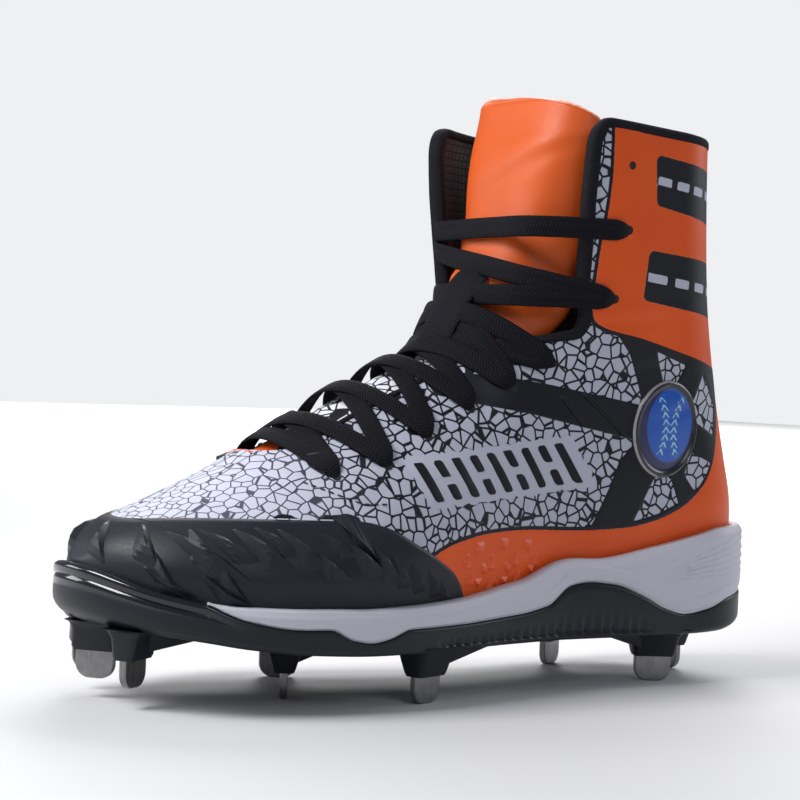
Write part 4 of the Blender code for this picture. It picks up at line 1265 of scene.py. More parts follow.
def buildTongue():
    first, last = tongueTable["row"][0], tongueTable["row"][-1]
    collar = shoe["collarRow"]
    rows = np.append(np.arange(first, collar, tongue["rowStep"]), np.linspace(collar, last, 30))
    outer, inner = (
        curve(tongueTable["row"], tongueTable[name], rows) * shoe["tongueWidth"]
        for name in ("outer", "inner")
    )
    across = np.linspace(-inner, outer, tongue["columns"], axis=1)
    base = np.array([[spot(row, a) for a in line] for row, line in zip(rows, across)])
    base[:, :, 1] += setBack(rows)[:, None]
    normal = np.cross(np.gradient(base, axis=1), np.gradient(base, axis=0))
    normal = normal / np.maximum(np.linalg.norm(normal, axis=2), 1e-9)[:, :, None]
    if np.sum(normal[:, :, 1]) > 0:
        normal = -normal
    row = np.repeat(rows[:, None], tongue["columns"], axis=1)
    thick = shoe["tongueWall"] + (shoe["tonguePad"] - shoe["tongueWall"]) * ease(row, 11, 14)
    # side is 0 in the middle and 1 at both edges
    side = np.where(across < 0, -across / inner[:, None], across / outer[:, None])
    fromEdge = np.clip((side - 1) / tongue["edgeRound"] + 1, 0, 1)
    edge = np.sqrt(np.clip(1 - fromEdge**2, 0.02, 1))
    edge = edge * (0.12 + 0.88 * np.sqrt(ease(row, 21.0, 20.72)))
    fold = np.zeros_like(row)
    for at, depth, wide, bend in tongue["folds"]:
        shift = (row - at - bend * across / 0.04) / wide
        fold += depth * np.exp(-(shift**2)) * (0.55 + 0.45 * np.cos(across / 0.02 + at))
    fold = fold * ease(1 - side, 0.0, 0.25) * ease(row, 20.2, 19.2)
    bulge = tongue["bulge"] * np.exp(-(((row - 18.6) / 1.6) ** 2)) * (1 - side**2)
    middle = -(wallAt(base[:, :, 2]) + shoe["tongueGap"] + thick / 2)
    frontFace = base + normal * (middle + thick / 2 * edge + (fold + bulge) * mm)[:, :, None]
    backFace = base + normal * (middle - thick / 2 * edge + fold * 0.6 * mm)[:, :, None]
    mesh = closedLoft("tongue", np.concatenate([frontFace, backFace[:, ::-1]], axis=1), 60)
    # The low end under the laces carries the print
    row = np.append(np.concatenate([row, row[:, ::-1]], axis=1), [first, last])
    side = np.append(np.concatenate([side, side[:, ::-1]], axis=1), [0, 0])
    low, high = tongue["printed"]
    setField(mesh, "printShare", np.minimum(np.minimum(high - row, row - low) * 9, (0.93 - side) * 16))
    turnOut(mesh)
    piece = newObject("tongueCover", mesh, "tongue", ("tongue",), finishes["tongue"])


print("tongue")
buildTongue()

# Laces: flat woven strands, each from one eyelet to another
lacing = {
    "width": 7.9 * mm, "thick": 1.5 * mm, "lift": 1.0 * mm, "crest": 1.5 * mm,
    "end": 4.0 * mm, "dive": 1.9 * mm, "hump": 0.5 * mm, "overTongue": 1.6 * mm, "points": 72,
    "footEyelets": (
        (-63, 80.5), (-43.5, 84.5), (-23.5, 95), (-2.5, 105.5), (15, 113.5), (31.5, 123.5),
    ),
    "shaftEyelets": ((53, 148.5), (56, 174.5)),
}


def rowThrough(y, z):
    # The row whose fan line passes through a place seen from the side
    low, high = 0.0, float(shoe["collarRow"])
    for _ in range(30):
        middle = (low + high) / 2
        back, front, _ = fanLine(middle)
        reach, aside = front - back, np.array([y, z]) - back
        low, high = (low, middle) if reach[0] * aside[1] - reach[1] * aside[0] > 0 else (middle, high)
    return (low + high) / 2


def eyelet(place, side):
    y, z = place[0] * mm, place[1] * mm
    row = rowThrough(y, z)
    points, run = storedSection(row, side)
    return row, side * float(run[np.argmax(points[:, 1] >= y)])


def rowAtHeight(z, across):
    low, high = 0.0, float(shoe["collarRow"])
    for _ in range(24):
        middle = (low + high) / 2
        low, high = (middle, high) if spot(middle, across)[2] < z else (low, middle)
    return (low + high) / 2


def ribbonRings(path, normal, width, thick, around=16):
    # Rings of a flat rounded ribbon along a path; width and thick per point
    along = unit(np.gradient(path, axis=0))
    over = unit(np.cross(normal, along))
    lift = np.cross(along, over)
    turn = np.linspace(0, 2 * math.pi, around, endpoint=False)
    c, s = np.cos(turn), np.sin(turn)
    u = np.sign(c) * np.abs(c) ** 0.62 * width[:, None] / 2
    v = np.sign(s) * np.abs(s) ** 0.75 * thick[:, None] / 2
    rings = path[:, None] + over[:, None] * u[:, :, None] + lift[:, None] * v[:, :, None]
    return rings, np.stack([np.repeat(runOf(path)[:, None], around, 1), u], -1)


def strandPath(start, end, over, level):
    # Points and normals of a strand that lies on the skin, or hangs before the tongue
    share = np.linspace(0, 1, lacing["points"])
    path, normals = [], []
    heights = spot(*start)[2], spot(*end)[2]
    for t in share:
        row = start[0] + (end[0] - start[0]) * t
        across = start[1] + (end[1] - start[1]) * t
        if level:
            row += level * (rowAtHeight(heights[0] + (heights[1] - heights[0]) * t, across) - row)
        normal = spotNormal(row, across)
        point = spot(row, across)
        inward = ease(0.030 - abs(across), 0.0, 0.013) * float(ease(row, 11.6, 13))
        if inward > 0:
            depth = float(setBack(row)) + wallAt(point[2]) + shoe["tongueGap"]
            point = point + np.array([0, inward * (depth - lacing["overTongue"]), 0])
        path.append(point)
        normals.append(normal)
    path, normals = smoothed(path, 40), unit(smoothed(normals, 10))
    lift = lacing["lift"] + over * lacing["crest"] * np.exp(-(((share - 0.5) / 0.16) ** 2))
    # Both ends dive into their eyelets
    run = runOf(path)
    fromEnd = np.minimum(run, run[-1] - run)
    lift = lift - (1 - ease(fromEnd, 0, lacing["end"])) * lacing["dive"]
    lift = lift + lacing["hump"] * np.exp(-(((fromEnd - 7 * mm) / (4 * mm)) ** 2))
    width = lacing["width"] * (0.42 + 0.58 * ease(fromEnd, -2 * mm, 8 * mm))
    thick = lacing["thick"] * (1.25 - 0.25 * ease(fromEnd, 0, 9 * mm))
    return path + normals * lift[:, None], normals, width, thick


def buildLaces():
    pads = lacing["footEyelets"] + lacing["shaftEyelets"]
    right, left = ([eyelet(place, side) for place in pads] for side in (1, -1))
    # Each strand: its two ends, whether it lies over another, whether it keeps level
    strands = [(right[0], left[0], 0.0, 0)]
    for i in range(5):
        strands.append((left[i], right[i + 1], 1.0, 0))
        strands.append((right[i], left[i + 1], 0.0, 0))
    strands += [
        (left[6], right[5], 0.0, 1), (right[6], left[6], 1.0, 1),
        (left[7], right[6], 0.0, 1), (right[7], left[7], 1.0, 1),
    ]
    meshes = []
    for strand in strands:
        rings, uv = ribbonRings(*strandPath(*strand))
        meshes.append(closedLoft("laceStrand", rings, 70, uv))
    newObject("lacePasses", joined("lace", meshes), "lace", ("lace",), finishes["lace"])


print("laces")
buildLaces()


keeperLoop = {
    "across": 6.5 * mm, "turn": 0.55, "lift": 9.0 * mm, "width": 12 * mm, "thick": 1.1 * mm,
    "rows": (10.2, 13.75), "points": 40,
}


def buildKeeper():
    # The webbing loop on the tongue that the laces run under
    count, across = keeperLoop["points"], keeperLoop["across"]
    path, normals = [], []
    for row in np.linspace(*keeperLoop["rows"], count):
        point, normal = spot(row, across), spotNormal(row, across)
        point[1] += float(setBack(row))
        path.append(point - normal * (wallAt(point[2]) + shoe["tongueGap"]))
        normals.append(normal + (keeperLoop["turn"], 0, 0))
    normals = unit(smoothed(normals, 8))
    arch = np.sin(np.pi * np.linspace(0, 1, count) ** 0.7) ** 0.5
    lift = 0.6 * mm + keeperLoop["lift"] * arch
    path = smoothed(path + normals * lift[:, None], 4)
    width, thick = np.full(count, keeperLoop["width"]), np.full(count, keeperLoop["thick"])
    rings, uv = ribbonRings(path, normals, width, thick, 14)
    mesh = closedLoft("laceKeeper", rings, 60, uv)
    turnOut(mesh)
    newObject("keeperLoop", mesh, "lace", ("lace_keeper",), finishes["keeper"])


buildKeeper()


def tubeMesh(name, path, radius, around):
    along = unit(np.gradient(path, axis=0))
    side = unit(np.cross(along, (0.3, 0.5, 0.81)))
    up = np.cross(along, side)
    turn = np.linspace(0, 2 * math.pi, around, endpoint=False)
    rings = path[:, None] + radius * (
        side[:, None] * np.cos(turn)[None, :, None] + up[:, None] * np.sin(turn)[None, :, None]
    )
    mesh = closedLoft(name, rings, 70)
    turnOut(mesh)
    return mesh


# Piping along the inner side's seam
piping = {"radius": 1.3 * mm, "proud": 0.5 * mm, "pointStep": 1.2 * mm, "footZ": 44}


def buildPiping():
    places = [onSide(y, z, -1) for y, z in innerPiping if z > piping["footZ"]]
    line = [point + normal * piping["proud"] for point, normal in places]
    line = smoothed(resample(line, piping["pointStep"]), 3)
    mesh = tubeMesh("innerPiping", line, piping["radius"], 10)
    newObject("innerPiping", mesh, "lace", (), finishes["piping"])


buildPiping()


# Badge: a raised oval ring round a domed disc
badge = {
    "centre": (85.4, 99.8), "half": (17.2, 19.4), "rings": 46, "around": 120,
    "ring": 0.83, "dome": 1.1, "lip": 1.1, "base": 0.35, "edgeDrop": 1.3,
    "disc": (0.10, 0.08), "discRadius": 0.70, "seamGap": 0.12, "seamBend": 0.55,
}


def seamField(u, v):
    # Two curved rows of small slanted stitches on the disc
    best = -9.0
    for way in (1, -1):
        apart = abs(u - way * (badge["seamGap"] + badge["seamBend"] * v * v) - 0.08)
        row, tick = 0.045 - apart, math.sin((v + apart * 0.9) * 42)
        line = row * 2 if abs(row) < 0.02 else -1
        best = max(best, line, min((0.12 - apart) * 3, (tick - 0.55) * 0.6))
    discU, discV = badge["disc"]
    return min(best, (badge["discRadius"] - 0.02 - math.hypot(u - discU, v - discV)) * 3)


def buildBadge():
    rings, around = badge["rings"], badge["around"]
    (cy, cz), (hy, hz), (discU, discV) = badge["centre"], badge["half"], badge["disc"]
    points, fields = [], {"radius": [], "disc": [], "seam": []}
    for r in np.arange(rings + 1) / rings:
        dome = badge["dome"] * max(0.0, 1 - (r / badge["ring"]) ** 2)
        lip = badge["lip"] * math.exp(-(((r - 0.90) / 0.055) ** 2))
        drop = badge["edgeDrop"] * max(0.0, (r - 0.965) / 0.035)
        for a in np.arange(around) * 2 * math.pi / around:
            u, v = r * math.cos(a), r * math.sin(a)
            point, normal = onSide(cy + hy * u, cz + hz * v, 1)
            points.append(point + normal * (badge["base"] + dome + lip - drop) * mm)
            fields["radius"].append(r)
            away = math.hypot(u - discU, (v - discV) / 1.06)
            fields["disc"].append((badge["discRadius"] - away) * 15)
            fields["seam"].append(seamField(u, v))
    mesh = meshFrom("badge", points, gridFaces(rings + 1, around, wrap=True))
    for name, values in fields.items():
        setField(mesh, name, values)
    weld(mesh, 0.01 * mm)
    mesh.shade_smooth()
    if np.sum(normalsOf(mesh)[:, 0]) < 0:
        mesh.flip_normals()
    newObject("sideBadge", mesh, "upper", (), finishes["badge"])


print("badge")
buildBadge()


# Midsole and outsole: rings round the sole's outline
def ringAt(loop, normal, inset, height):
    inset, height = (np.broadcast_to(value, (len(loop),)) for value in (inset, height))
    return np.column_stack([loop - normal * inset[:, None], height])


def loopNormals(loop):
    return smoothed(outward(loop), 4, True)


midsole = {
    "stations": 260, "levels": 40, "edgeRound": 0.9 * mm, "belly": 0.5 * mm, "tuck": 1.2 * mm,
    "ridges": 5, "ridgeDepth": 0.55 * mm, "ridgePitch": 3.1, "ridgeFocus": 41,
    "bandStep": 0.45 * mm, "beadHeight": 0.35 * mm, "beadDown": 3.0, "sunk": 2.6 * mm,
    "overRim": 1.4 * mm, "rimLap": 0.8 * mm, "lip": 0.1 * mm, "lipDrop": 0.6 * mm,
}


def buildMidsole():
    loop, at = soleLoop(midsole["stations"])
    normal = loopNormals(loop)
    core = shoe["bumperWall"] + 2 * shoe["gap"]
    covered = at > shoe["whiteEnd"]
    seam = wingZ(at) + shoe["gap"]
    top = np.maximum(rimZ(at), seam + shoe["gap"])
    # Behind the toe bumper it stays below its edge
    sunk = midsole["sunk"] * ease(at, shoe["whiteEnd"] - 0.004, shoe["whiteEnd"] + 0.006)
    seam, top = seam - sunk, top - sunk
    rings = [
        ringAt(loop, normal, core, seam - midsole["tuck"]), ringAt(loop, normal, 0.3 * mm, seam),
    ]
    # The ridges at the heel converge forward, and a flat band follows the black wave
    y = (0.5 - at) * shoe["length"] / mm
    focus = midsole["ridgeFocus"] + (y - 88) * 0.10
    spread = midsole["ridgePitch"] * np.clip((y - 70) / 62, 0.05, 2)
    heel, wave = ease(y, 84, 96), ease(y, 20, 50) * (1 - ease(y, 118, 134))
    for share in np.arange(1, midsole["levels"]) / midsole["levels"]:
        z = seam + (top - seam) * share
        ends = np.exp(-((share / 0.05) ** 2)) + np.exp(-(((1 - share) / 0.05) ** 2))
        inset = midsole["edgeRound"] * ends - midsole["belly"] * np.sin(np.pi * share)
        rank = (z / mm - focus) / spread + 0.5
        last = midsole["ridges"]
        on = heel * ease(rank, -0.2, 0.1) * (1 - ease(rank, last - 0.2, last + 0.3))
        inset = inset + midsole["ridgeDepth"] * (0.5 + 0.5 * np.cos(2 * math.pi * rank)) * on
        inset = inset + midsole["bandStep"] * wave * ease((z - seam) / mm, 5.2, 6.0)
        fromBead = ((top - z) / mm - midsole["beadDown"]) / 1.1
        inset = inset - midsole["beadHeight"] * np.exp(-(fromBead**2))
        rings.append(ringAt(loop, normal, np.where(covered, core, inset), z))
    wall, lip = shoe["rimWall"], shoe["rimWall"] + midsole["lip"]
    rings += [
        ringAt(loop, normal, np.where(covered, core, midsole["overRim"]), top),
        ringAt(loop, normal, wall - midsole["rimLap"], top + np.where(covered, 0, 0.15 * mm)),
        ringAt(loop, normal, lip, top - midsole["lipDrop"]),
        ringAt(loop, normal, lip, footZ(at)),
    ]
    mesh = closedLoft("midsole", rings, 50)
    turnOut(mesh)
    newObject("midsoleFoam", mesh, "midsole", ("midsole",), finishes["foam"])


studs = {
    "width": 14.5 * mm, "wall": 2.6 * mm, "drop": 10.5 * mm, "lift": 7.0 * mm, "corner": 0.36,
    "edge": 0.35 * mm, "intoSole": 2 * mm, "fin": 27 * mm, "finEnds": (4.2 * mm, 1.6 * mm),
    # Each level of a housing: share of its height, half width and half depth in blade widths
    "levels": (
        (0, 0.53, 0.24), (0.12, 0.57, 0.28), (0.7, 0.66, 0.42), (0.93, 0.80, 0.60),
        (1, 0.95, 0.75),
    ),
    # Each stud: across in ball widths, along in lengths, turn in degrees, 1 at the raised toe
    "rows": (
        ("stud_heel_outer", 0.227, 0.318, 64.0, 0.0), ("stud_heel_inner", -0.243, 0.280, 116.0, 0.0),
        ("stud_heel_back", -0.023, 0.425, 0.0, 0.0), ("stud_ball_outer", 0.357, -0.087, 106.0, 0.0),
        ("stud_ball_inner", -0.303, -0.150, 62.0, 0.0), ("stud_middle", 0.107, -0.232, 148.0, 0.0),
        ("stud_toe_outer", 0.112, -0.438, 122.0, 1.0), ("stud_toe_middle", -0.113, -0.445, 40.0, 1.0),
        ("stud_toe_inner", -0.278, -0.420, 70.0, 1.0),
    ),
}


def placedAt(flat, across, along, turn):
    x = across + flat[:, 0] * math.cos(turn) - flat[:, 1] * math.sin(turn)
    y = along + flat[:, 0] * math.sin(turn) + flat[:, 1] * math.cos(turn)
    return np.column_stack([x, y, flat[:, 2]])


def roundBox(half, thick, corner, z, count=6):
    # One level ring of a box with round corners
    points = []
    for quarter, (sx, sy) in enumerate(((1, 1), (-1, 1), (-1, -1), (1, -1))):
        for k in range(count):
            angle = math.pi / 2 * (quarter + k / (count - 1))
            points.append((
                sx * (half - corner) + corner * math.cos(angle),
                sy * (thick - corner) + corner * math.sin(angle), z,
            ))
    return np.array(points)


outsole = {
    "stations": 260, "turns": 8, "levels": 16, "toothDepth": 1.5 * mm, "toothPitch": 1 / 0.22,
    "grooveDepth": 0.7 * mm, "groove": 0.62, "lip": 0.5 * mm, "topWidth": 1.3 * mm,
    "topRise": 0.1 * mm,
}


def buildOutsole():
    loop, at = soleLoop(outsole["stations"])
    normal = loopNormals(loop)
    roll = shoe["plate"] * sole("roll", at)
    under, wing, wall = underZ(at), wingZ(at), shoe["bumperWall"]
    turn = np.minimum(roll, (wing - under) * 0.7)
    rings = []
    for a in np.linspace(0, math.pi / 2, outsole["turns"] + 1):
        inset, height = roll * 1.5 * (1 - math.sin(a)), under + turn * (1 - math.cos(a))
        rings.append(ringAt(loop, normal, inset, height))
    # Upright teeth along the arch's lower edge, and a groove round the toe bumper
    y = (0.5 - at) * shoe["length"] / mm
    arch = ease(y, -34, -20) * (1 - ease(y, 74, 86))
    tooth = outsole["toothDepth"] * arch * np.abs((y / outsole["toothPitch"]) % 1.0 - 0.5) * 2
    groove = outsole["grooveDepth"] * ease(at, 0.86, 0.93)
    for share in np.arange(1, outsole["levels"]) / outsole["levels"]:
        z = under + turn + (wing - under - turn) * share
        inset = tooth * (1 - ease(share, 0.0, outsole["groove"]))
        inset = inset + groove * np.exp(-(((share - outsole["groove"]) / 0.05) ** 2))
        rings.append(ringAt(loop, normal, inset + outsole["lip"] * ease(share, 0.90, 1.0), z))
    rings += [
        ringAt(loop, normal, outsole["topWidth"], wing + outsole["topRise"]),
        ringAt(loop, normal, wall - 0.3 * mm, wing + outsole["topRise"]),
        ringAt(loop, normal, wall, wing - 0.6 * mm),
        ringAt(loop, normal, np.maximum(wall, roll * 0.65), plateZ(at)),
    ]
    mesh = closedLoft("outsole", rings, 50)
    place = pointsOf(mesh)
    share = np.clip(0.5 - place[:, 1] / shoe["length"], 0, 1)
    topBand = ease((place[:, 2] - underZ(share)) / (wingZ(share) - underZ(share) + 1e-6), 0.60, 0.66)
    turnOut(mesh)
    setField(mesh, "gloss", ease(share, 0.84, 0.90) * topBand)
    newObject("outsolePlate", mesh, "outsole", ("outsole",), finishes["outsole"])


def housing(across, along, turn, toe, low):
    # A tapered foot between a blade and the plate
    high = float(underZ(0.5 - along / shoe["length"])) + 1.5 * mm
    rings = []
    for t, wide, deep in studs["levels"]:
        flare = studs["width"] * (1 - toe * 0.32 * max(0.0, t - 0.2))
        level = low + (high - low) * t
        ring = roundBox(wide * flare, deep * flare, deep * flare * 0.42, level)
        rings.append(placedAt(ring, across, along, turn))
    return closedLoft("housing", rings, 35)


def fin(across, along, low):
    # A long fin slopes from the housing up to the plate, towards the arch
    way = 1 if along < 0 else -1
    rings = []
    for t, wide in enumerate(studs["finEnds"]):
        base = along + way * studs["fin"] * t
        plate = float(underZ(0.5 - base / shoe["length"]))
        top, edge = plate + 1.2 * mm, low + 1.5 * mm + (plate - low - 1.8 * mm) * t
        rings.append([
            (across - wide, base, top), (across + wide, base, top),
            (across + wide * 0.5, base, edge), (across - wide * 0.5, base, edge),
        ])
    return closedLoft("fin", rings, 30)


def buildHousings():
    meshes = []
    for _, across, along, turn, toe in studs["rows"]:
        across, along = across * shoe["ballWidth"], along * shoe["length"]
        low = toe * studs["lift"] + studs["drop"] - 0.6 * mm
        meshes.append(housing(across, along, math.radians(turn), toe, low))
        meshes.append(fin(across, along, low))
    mesh = joined("studHousings", meshes)
    setField(mesh, "gloss", np.zeros(len(mesh.vertices)))
    mesh.set_sharp_from_angle(angle=math.radians(35))
    newObject("studHousings", mesh, "outsole", (), finishes["outsole"])


def buildStud(name, across, along, turn, toe):
    # A steel blade with round lower corners, its edges eased
    half, corner = studs["width"] / 2, studs["width"] * studs["corner"]
    angles = np.radians(np.arange(10, 91, 10))
    right = np.vstack([
        [(half, studs["drop"] + studs["intoSole"]), (half, corner)],
        np.column_stack([
            half - corner + corner * np.cos(angles), corner - corner * np.sin(angles),
        ]),
    ])
    profile = np.vstack([right, right[::-1] * (-1, 1)])
    away = unit(profile - (0, studs["drop"] / 2))
    rings = []
    for depth, shrink in ((-0.5, studs["edge"]), (-0.36, 0), (0.36, 0), (0.5, studs["edge"])):
        flat = profile - away * shrink + (0, toe * studs["lift"])
        ring = np.insert(flat, 1, depth * studs["wall"], axis=1)
        place = across * shoe["ballWidth"], along * shoe["length"], math.radians(turn)
        rings.append(placedAt(ring, *place))
    mesh = closedLoft(name, rings, 30)
    turnOut(mesh)
    newObject("blade_" + name, mesh, "stud", (name,), finishes["steel"])


# Insole: its profile steps in and up from the rim, in mm
insole = {
    "stations": 90, "fromWall": 2.2 * mm, "toeInset": 2 * mm,
    "profile": ((0, 0), (0, 2.8), (0.4, 3.6), (1.2, 4), (6, 4.1)),
}


def buildInsole():
    loop, at = soleLoop(insole["stations"])
    normal = loopNormals(loop)
    inset = shoe["rimWall"] + shoe["upperWall"] + insole["fromWall"]
    inset = inset + insole["toeInset"] * np.clip((at - 0.85) / 0.1, 0, 1)
    base = footZ(at) + shoe["gap"]
    rings = [ringAt(loop, normal, inset + d * mm, base + h * mm) for d, h in insole["profile"]]
    mesh = closedLoft("insole", rings, 60)
    turnOut(mesh)
    newObject("insoleSheet", mesh, "insole", ("insole",), finishes["insole"])


print("sole")
buildMidsole()
buildOutsole()
buildHousings()
for row in studs["rows"]:
    buildStud(*row)
buildInsole()


# Stitches: one Geometry Nodes tree sets a thread form along any line
stitches = {"lift": 0.25 * mm, "radius": 0.32 * mm, "rowStep": 0.04, "heights": (84 * mm, 139 * mm)}


def stitchTree():
    tree = bpy.data.node_groups.new("stitchesOnLine", "GeometryNodeTree")
    face = tree.interface
    face.new_socket("Geometry", in_out="INPUT", socket_type="NodeSocketGeometry")
    sockets = {}
    inputs = {"Spacing": "Float", "Length": "Float", "Radius": "Float", "Thread": "Material"}
    for name, kind in inputs.items():
        made = face.new_socket(name, in_out="INPUT", socket_type="NodeSocket" + kind)
        sockets[name] = made.identifier
    face.new_socket("Geometry", in_out="OUTPUT", socket_type="NodeSocketGeometry")

    def add(kind, **settings):
        node = tree.nodes.new(kind)
        for key, value in settings.items():
            setattr(node, key, value)
        return node

    start, end = add("NodeGroupInput"), add("NodeGroupOutput")
    line = add("GeometryNodeMeshToCurve")
    spaced = add("GeometryNodeCurveToPoints", mode="LENGTH")
    turn = add("FunctionNodeAlignRotationToVector", axis="Z")
    form = add("GeometryNodeMeshUVSphere")
    form.inputs["Segments"].default_value = 8
    form.inputs["Rings"].default_value = 6
    form.inputs["Radius"].default_value = 1.0
    scale = add("ShaderNodeCombineXYZ")
    placed = add("GeometryNodeInstanceOnPoints")
    real = add("GeometryNodeRealizeInstances")
    dress = add("GeometryNodeSetMaterial")
    link = tree.links.new
    link(start.outputs["Geometry"], line.inputs[0])
    link(line.outputs[0], spaced.inputs["Curve"])
    link(start.outputs["Spacing"], spaced.inputs["Length"])
    link(spaced.outputs["Points"], placed.inputs["Points"])
    link(spaced.outputs["Tangent"], turn.inputs["Vector"])
    link(turn.outputs[0], placed.inputs["Rotation"])
    link(form.outputs["Mesh"], placed.inputs["Instance"])
    link(start.outputs["Radius"], scale.inputs[0])
    link(start.outputs["Radius"], scale.inputs[1])
    link(start.outputs["Length"], scale.inputs[2])
    link(scale.outputs[0], placed.inputs["Scale"])
    link(placed.outputs[0], real.inputs[0])
    link(real.outputs[0], dress.inputs["Geometry"])
    link(start.outputs["Thread"], dress.inputs["Material"])
    link(dress.outputs[0], end.inputs[0])
    return tree, sockets


stitchNodes, stitchSockets = stitchTree()


def sew(name, lines, thread, spacing, length):
    points, edges = [], []
    for line in lines:
        first = len(points)
        points.extend(tuple(p) for p in line)
        edges.extend((first + i, first + i + 1) for i in range(len(line) - 1))
    mesh = bpy.data.meshes.new(name)
    mesh.from_pydata(points, edges, [])
    guide = bpy.data.objects.new(name, mesh)
    bpy.context.scene.collection.objects.link(guide)
    modifier = guide.modifiers.new("stitches", "NODES")
    modifier.node_group = stitchNodes
    radius = stitches["radius"]
    values = {"Spacing": spacing, "Length": length, "Radius": radius, "Thread": thread}
    for key, value in values.items():
        modifier[stitchSockets[key]] = value
    bpy.context.view_layer.update()
    graph = bpy.context.evaluated_depsgraph_get()
    made = bpy.data.meshes.new_from_object(guide.evaluated_get(graph))
    bpy.data.objects.remove(guide)
    made.shade_smooth()
    newObject(name, made, "upper", (), thread)


def besideEdge(side, inset):
    # A line that keeps a distance from the throat's edge, on the skin
    low, high = stitches["heights"]
    line = []
    for row in np.arange(7.0, 19.5, stitches["rowStep"]):
        point = onSection(row, side, [throatDistance(row, side) + inset])[0]
        if low <= point[2] <= high:
            line.append(point)
    hits = [skinTree.find_nearest(Vector(p)) for p in smoothed(resample(line, 1.0 * mm), 12)]
    return [np.array(hit[0]) + np.array(hit[1]) * stitches["lift"] for hit in hits]


def acrossSide(line, side):
    # A line on the skin from places seen from the side, in mm
    places = [onSide(y, z, side) for y, z in resample(line, 1.0)]
    return [point + normal * stitches["lift"] for point, normal in places]


print("stitches")
innerRows = [besideEdge(-1, inset) for inset in (3.2 * mm, 5.6 * mm)]
sew("innerEyestayStitches", innerRows, finishes["thread"], 2.6 * mm, 0.95 * mm)
vampRow = acrossSide([(-74, 78), (-66, 74.5), (-58, 71.5), (-50, 71.5)], 1)
pipingRow = acrossSide([(y, z - 3.0) for y, z in innerPiping if z > 50], -1)
sew("vampStitches", [vampRow, pipingRow], finishes["darkThread"], 3.2 * mm, 1.2 * mm)

# Eyelets: a dark disc and a thin ring at each hole; the near-black disc is painted shade standing in for
# the open hole
eyelets = {
    "radius": 1.35 * mm, "empty": (54.5, 198.6), "emptyRadius": 1.25 * mm,
    # From the rim to the middle: radii from the centre, mm above the skin
    "profile": (
        (1.3, -0.2), (1.22, 0.18), (1.1, 0.22), (1.0, 0.12), (0.85, 0.06), (0.3, 0.05),
    ),
}


def eyeletMesh(y, z, side, radius):
    point, normal = onSide(y, z, side)
    over = unit(np.cross(normal, (0, 0.3, 0.95)))
    up = np.cross(normal, over)
    turn = np.linspace(0, 2 * math.pi, 24, endpoint=False)[:, None]
    circle = radius * (over * np.cos(turn) + up * np.sin(turn))
    rings = [point + normal * h * mm + circle * r for r, h in eyelets["profile"]]
    return closedLoft("eyelet", rings, 60)


def buildEyelets():
    meshes = []
    for side in (1, -1):
        for y, z in lacing["footEyelets"] + lacing["shaftEyelets"]:
            meshes.append(eyeletMesh(y, z, side, eyelets["radius"]))
        meshes.append(eyeletMesh(*eyelets["empty"], side, eyelets["emptyRadius"]))
    newObject("eyeletHoles", joined("eyelets", meshes), "lace", (), finishes["eyelet"])


buildEyelets()

# Floor, light and camera
print("stage")
studio = {
    "floorHalf": 4, "floor": (0.64, 0.64, 0.65), "backdrop": (0.86, 0.87, 0.89),
    "light": (0.90, 0.94, 1.0), "strength": 0.20,
}
corners = [(x * studio["floorHalf"], y * studio["floorHalf"], 0) for x, y in (
    (-1, -1), (1, -1), (1, 1), (-1, 1),
)]
floorFinish = Finish("studioFloor", studio["floor"], 0.6, Specular_IOR_Level=0.2)
floor = newObject("floor", meshFrom("floor", corners, [(0, 1, 2, 3)]), material=floorFinish.material)

world = bpy.data.worlds.new("studio")
bpy.context.scene.world = world
world.use_nodes = True
# The backdrop is pale to the eye, and dim as a light so that the blacks stay deep
around = world.node_tree
seen = around.nodes.new("ShaderNodeLightPath")
backdrop = around.nodes.new("ShaderNodeBackground")
blend = around.nodes.new("ShaderNodeMixShader")
around.nodes["Background"].inputs[0].default_value = (*studio["light"], 1)
around.nodes["Background"].inputs[1].default_value = studio["strength"]
backdrop.inputs[0].default_value = (*studio["backdrop"], 1)
around.links.new(seen.outputs["Is Camera Ray"], blend.inputs[0])
around.links.new(around.nodes["Background"].outputs[0], blend.inputs[1])
around.links.new(backdrop.outputs[0], blend.inputs[2])
around.links.new(blend.outputs[0], around.nodes["World Output"].inputs[0])


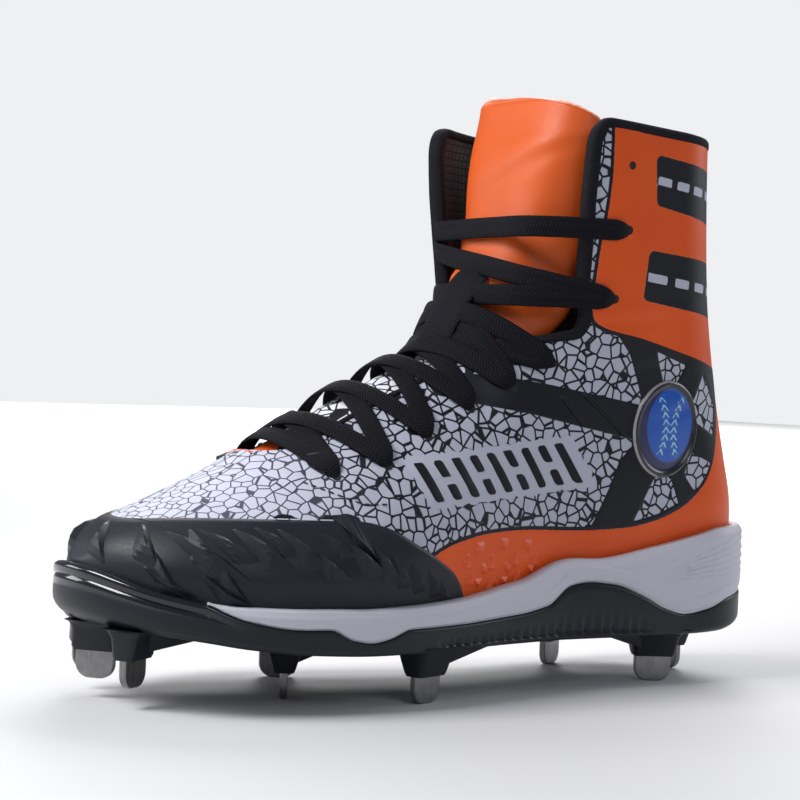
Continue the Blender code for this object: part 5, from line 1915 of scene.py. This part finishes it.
def areaLight(name, place, aim, width, height, power, colour=(1, 1, 1)):
    light = bpy.data.lights.new(name, "AREA")
    light.shape, light.size, light.size_y = "RECTANGLE", width, height
    light.energy, light.color = power, colour
    piece = bpy.data.objects.new(name, light)
    bpy.context.scene.collection.objects.link(piece)
    piece.location = place
    piece.rotation_mode = "QUATERNION"
    piece.rotation_quaternion = (Vector(aim) - Vector(place)).to_track_quat("-Z", "Y")


areaLight("topSoftbox", (-0.12, -0.78, 0.86), (0, -0.02, 0.08), 0.55, 0.42, 12.5)
areaLight("cameraSide", (1.10, -0.15, 0.75), (0, 0.02, 0.10), 0.5, 0.5, 2.4, (0.88, 0.92, 1.0))
areaLight("toeRim", (-0.65, -0.75, 0.40), (0, -0.08, 0.06), 0.4, 0.4, 3.0)
areaLight("floorWash", (-1.3, 1.5, 1.6), (-1.5, 1.7, 0), 1.6, 1.6, 60)
areaLight("farWash", (-3.2, 2.2, 1.6), (-3.4, 2.1, 0), 1.8, 1.8, 90)
areaLight("backRim", (0.15, 1.05, 0.55), (0, 0.05, 0.12), 0.5, 0.6, 3, (0.92, 0.95, 1.0))

# The fitted camera: turns in degrees, place in metres, the rest in the picture's pixels
view = {
    "azimuth": 58.03, "elevation": 0.82, "roll": -2.21, "place": (0.6146, -0.4605, 0.1190),
    "focal": 1419, "picture": 800, "zoom": 1.42, "centre": (498, 405),
}


def setCamera():
    a, e, r = (math.radians(view[k]) for k in ("azimuth", "elevation", "roll"))
    right = Vector((math.cos(a), math.sin(a), 0))
    back = Vector((math.sin(a) * math.cos(e), -math.cos(a) * math.cos(e), math.sin(e)))
    up = back.cross(right)
    camera = bpy.data.objects.new("camera", bpy.data.cameras.new("camera"))
    bpy.context.scene.collection.objects.link(camera)
    axes = (right * math.cos(r) - up * math.sin(r), right * math.sin(r) + up * math.cos(r), back)
    matrix = Matrix(axes).transposed().to_4x4()
    matrix.translation = Vector(view["place"])
    camera.matrix_world = matrix
    camera.data.sensor_width = 36
    scale = view["zoom"] / view["picture"]
    camera.data.lens = camera.data.sensor_width * view["focal"] * scale
    camera.data.shift_x = (view["centre"][0] - view["picture"] / 2) * scale
    camera.data.shift_y = -(view["centre"][1] - view["picture"] / 2) * scale
    camera.data.clip_start = 0.02
    bpy.context.scene.camera = camera


setCamera()
bpy.context.scene.view_settings.view_transform = "Standard"
bpy.context.scene.view_settings.look = "None"
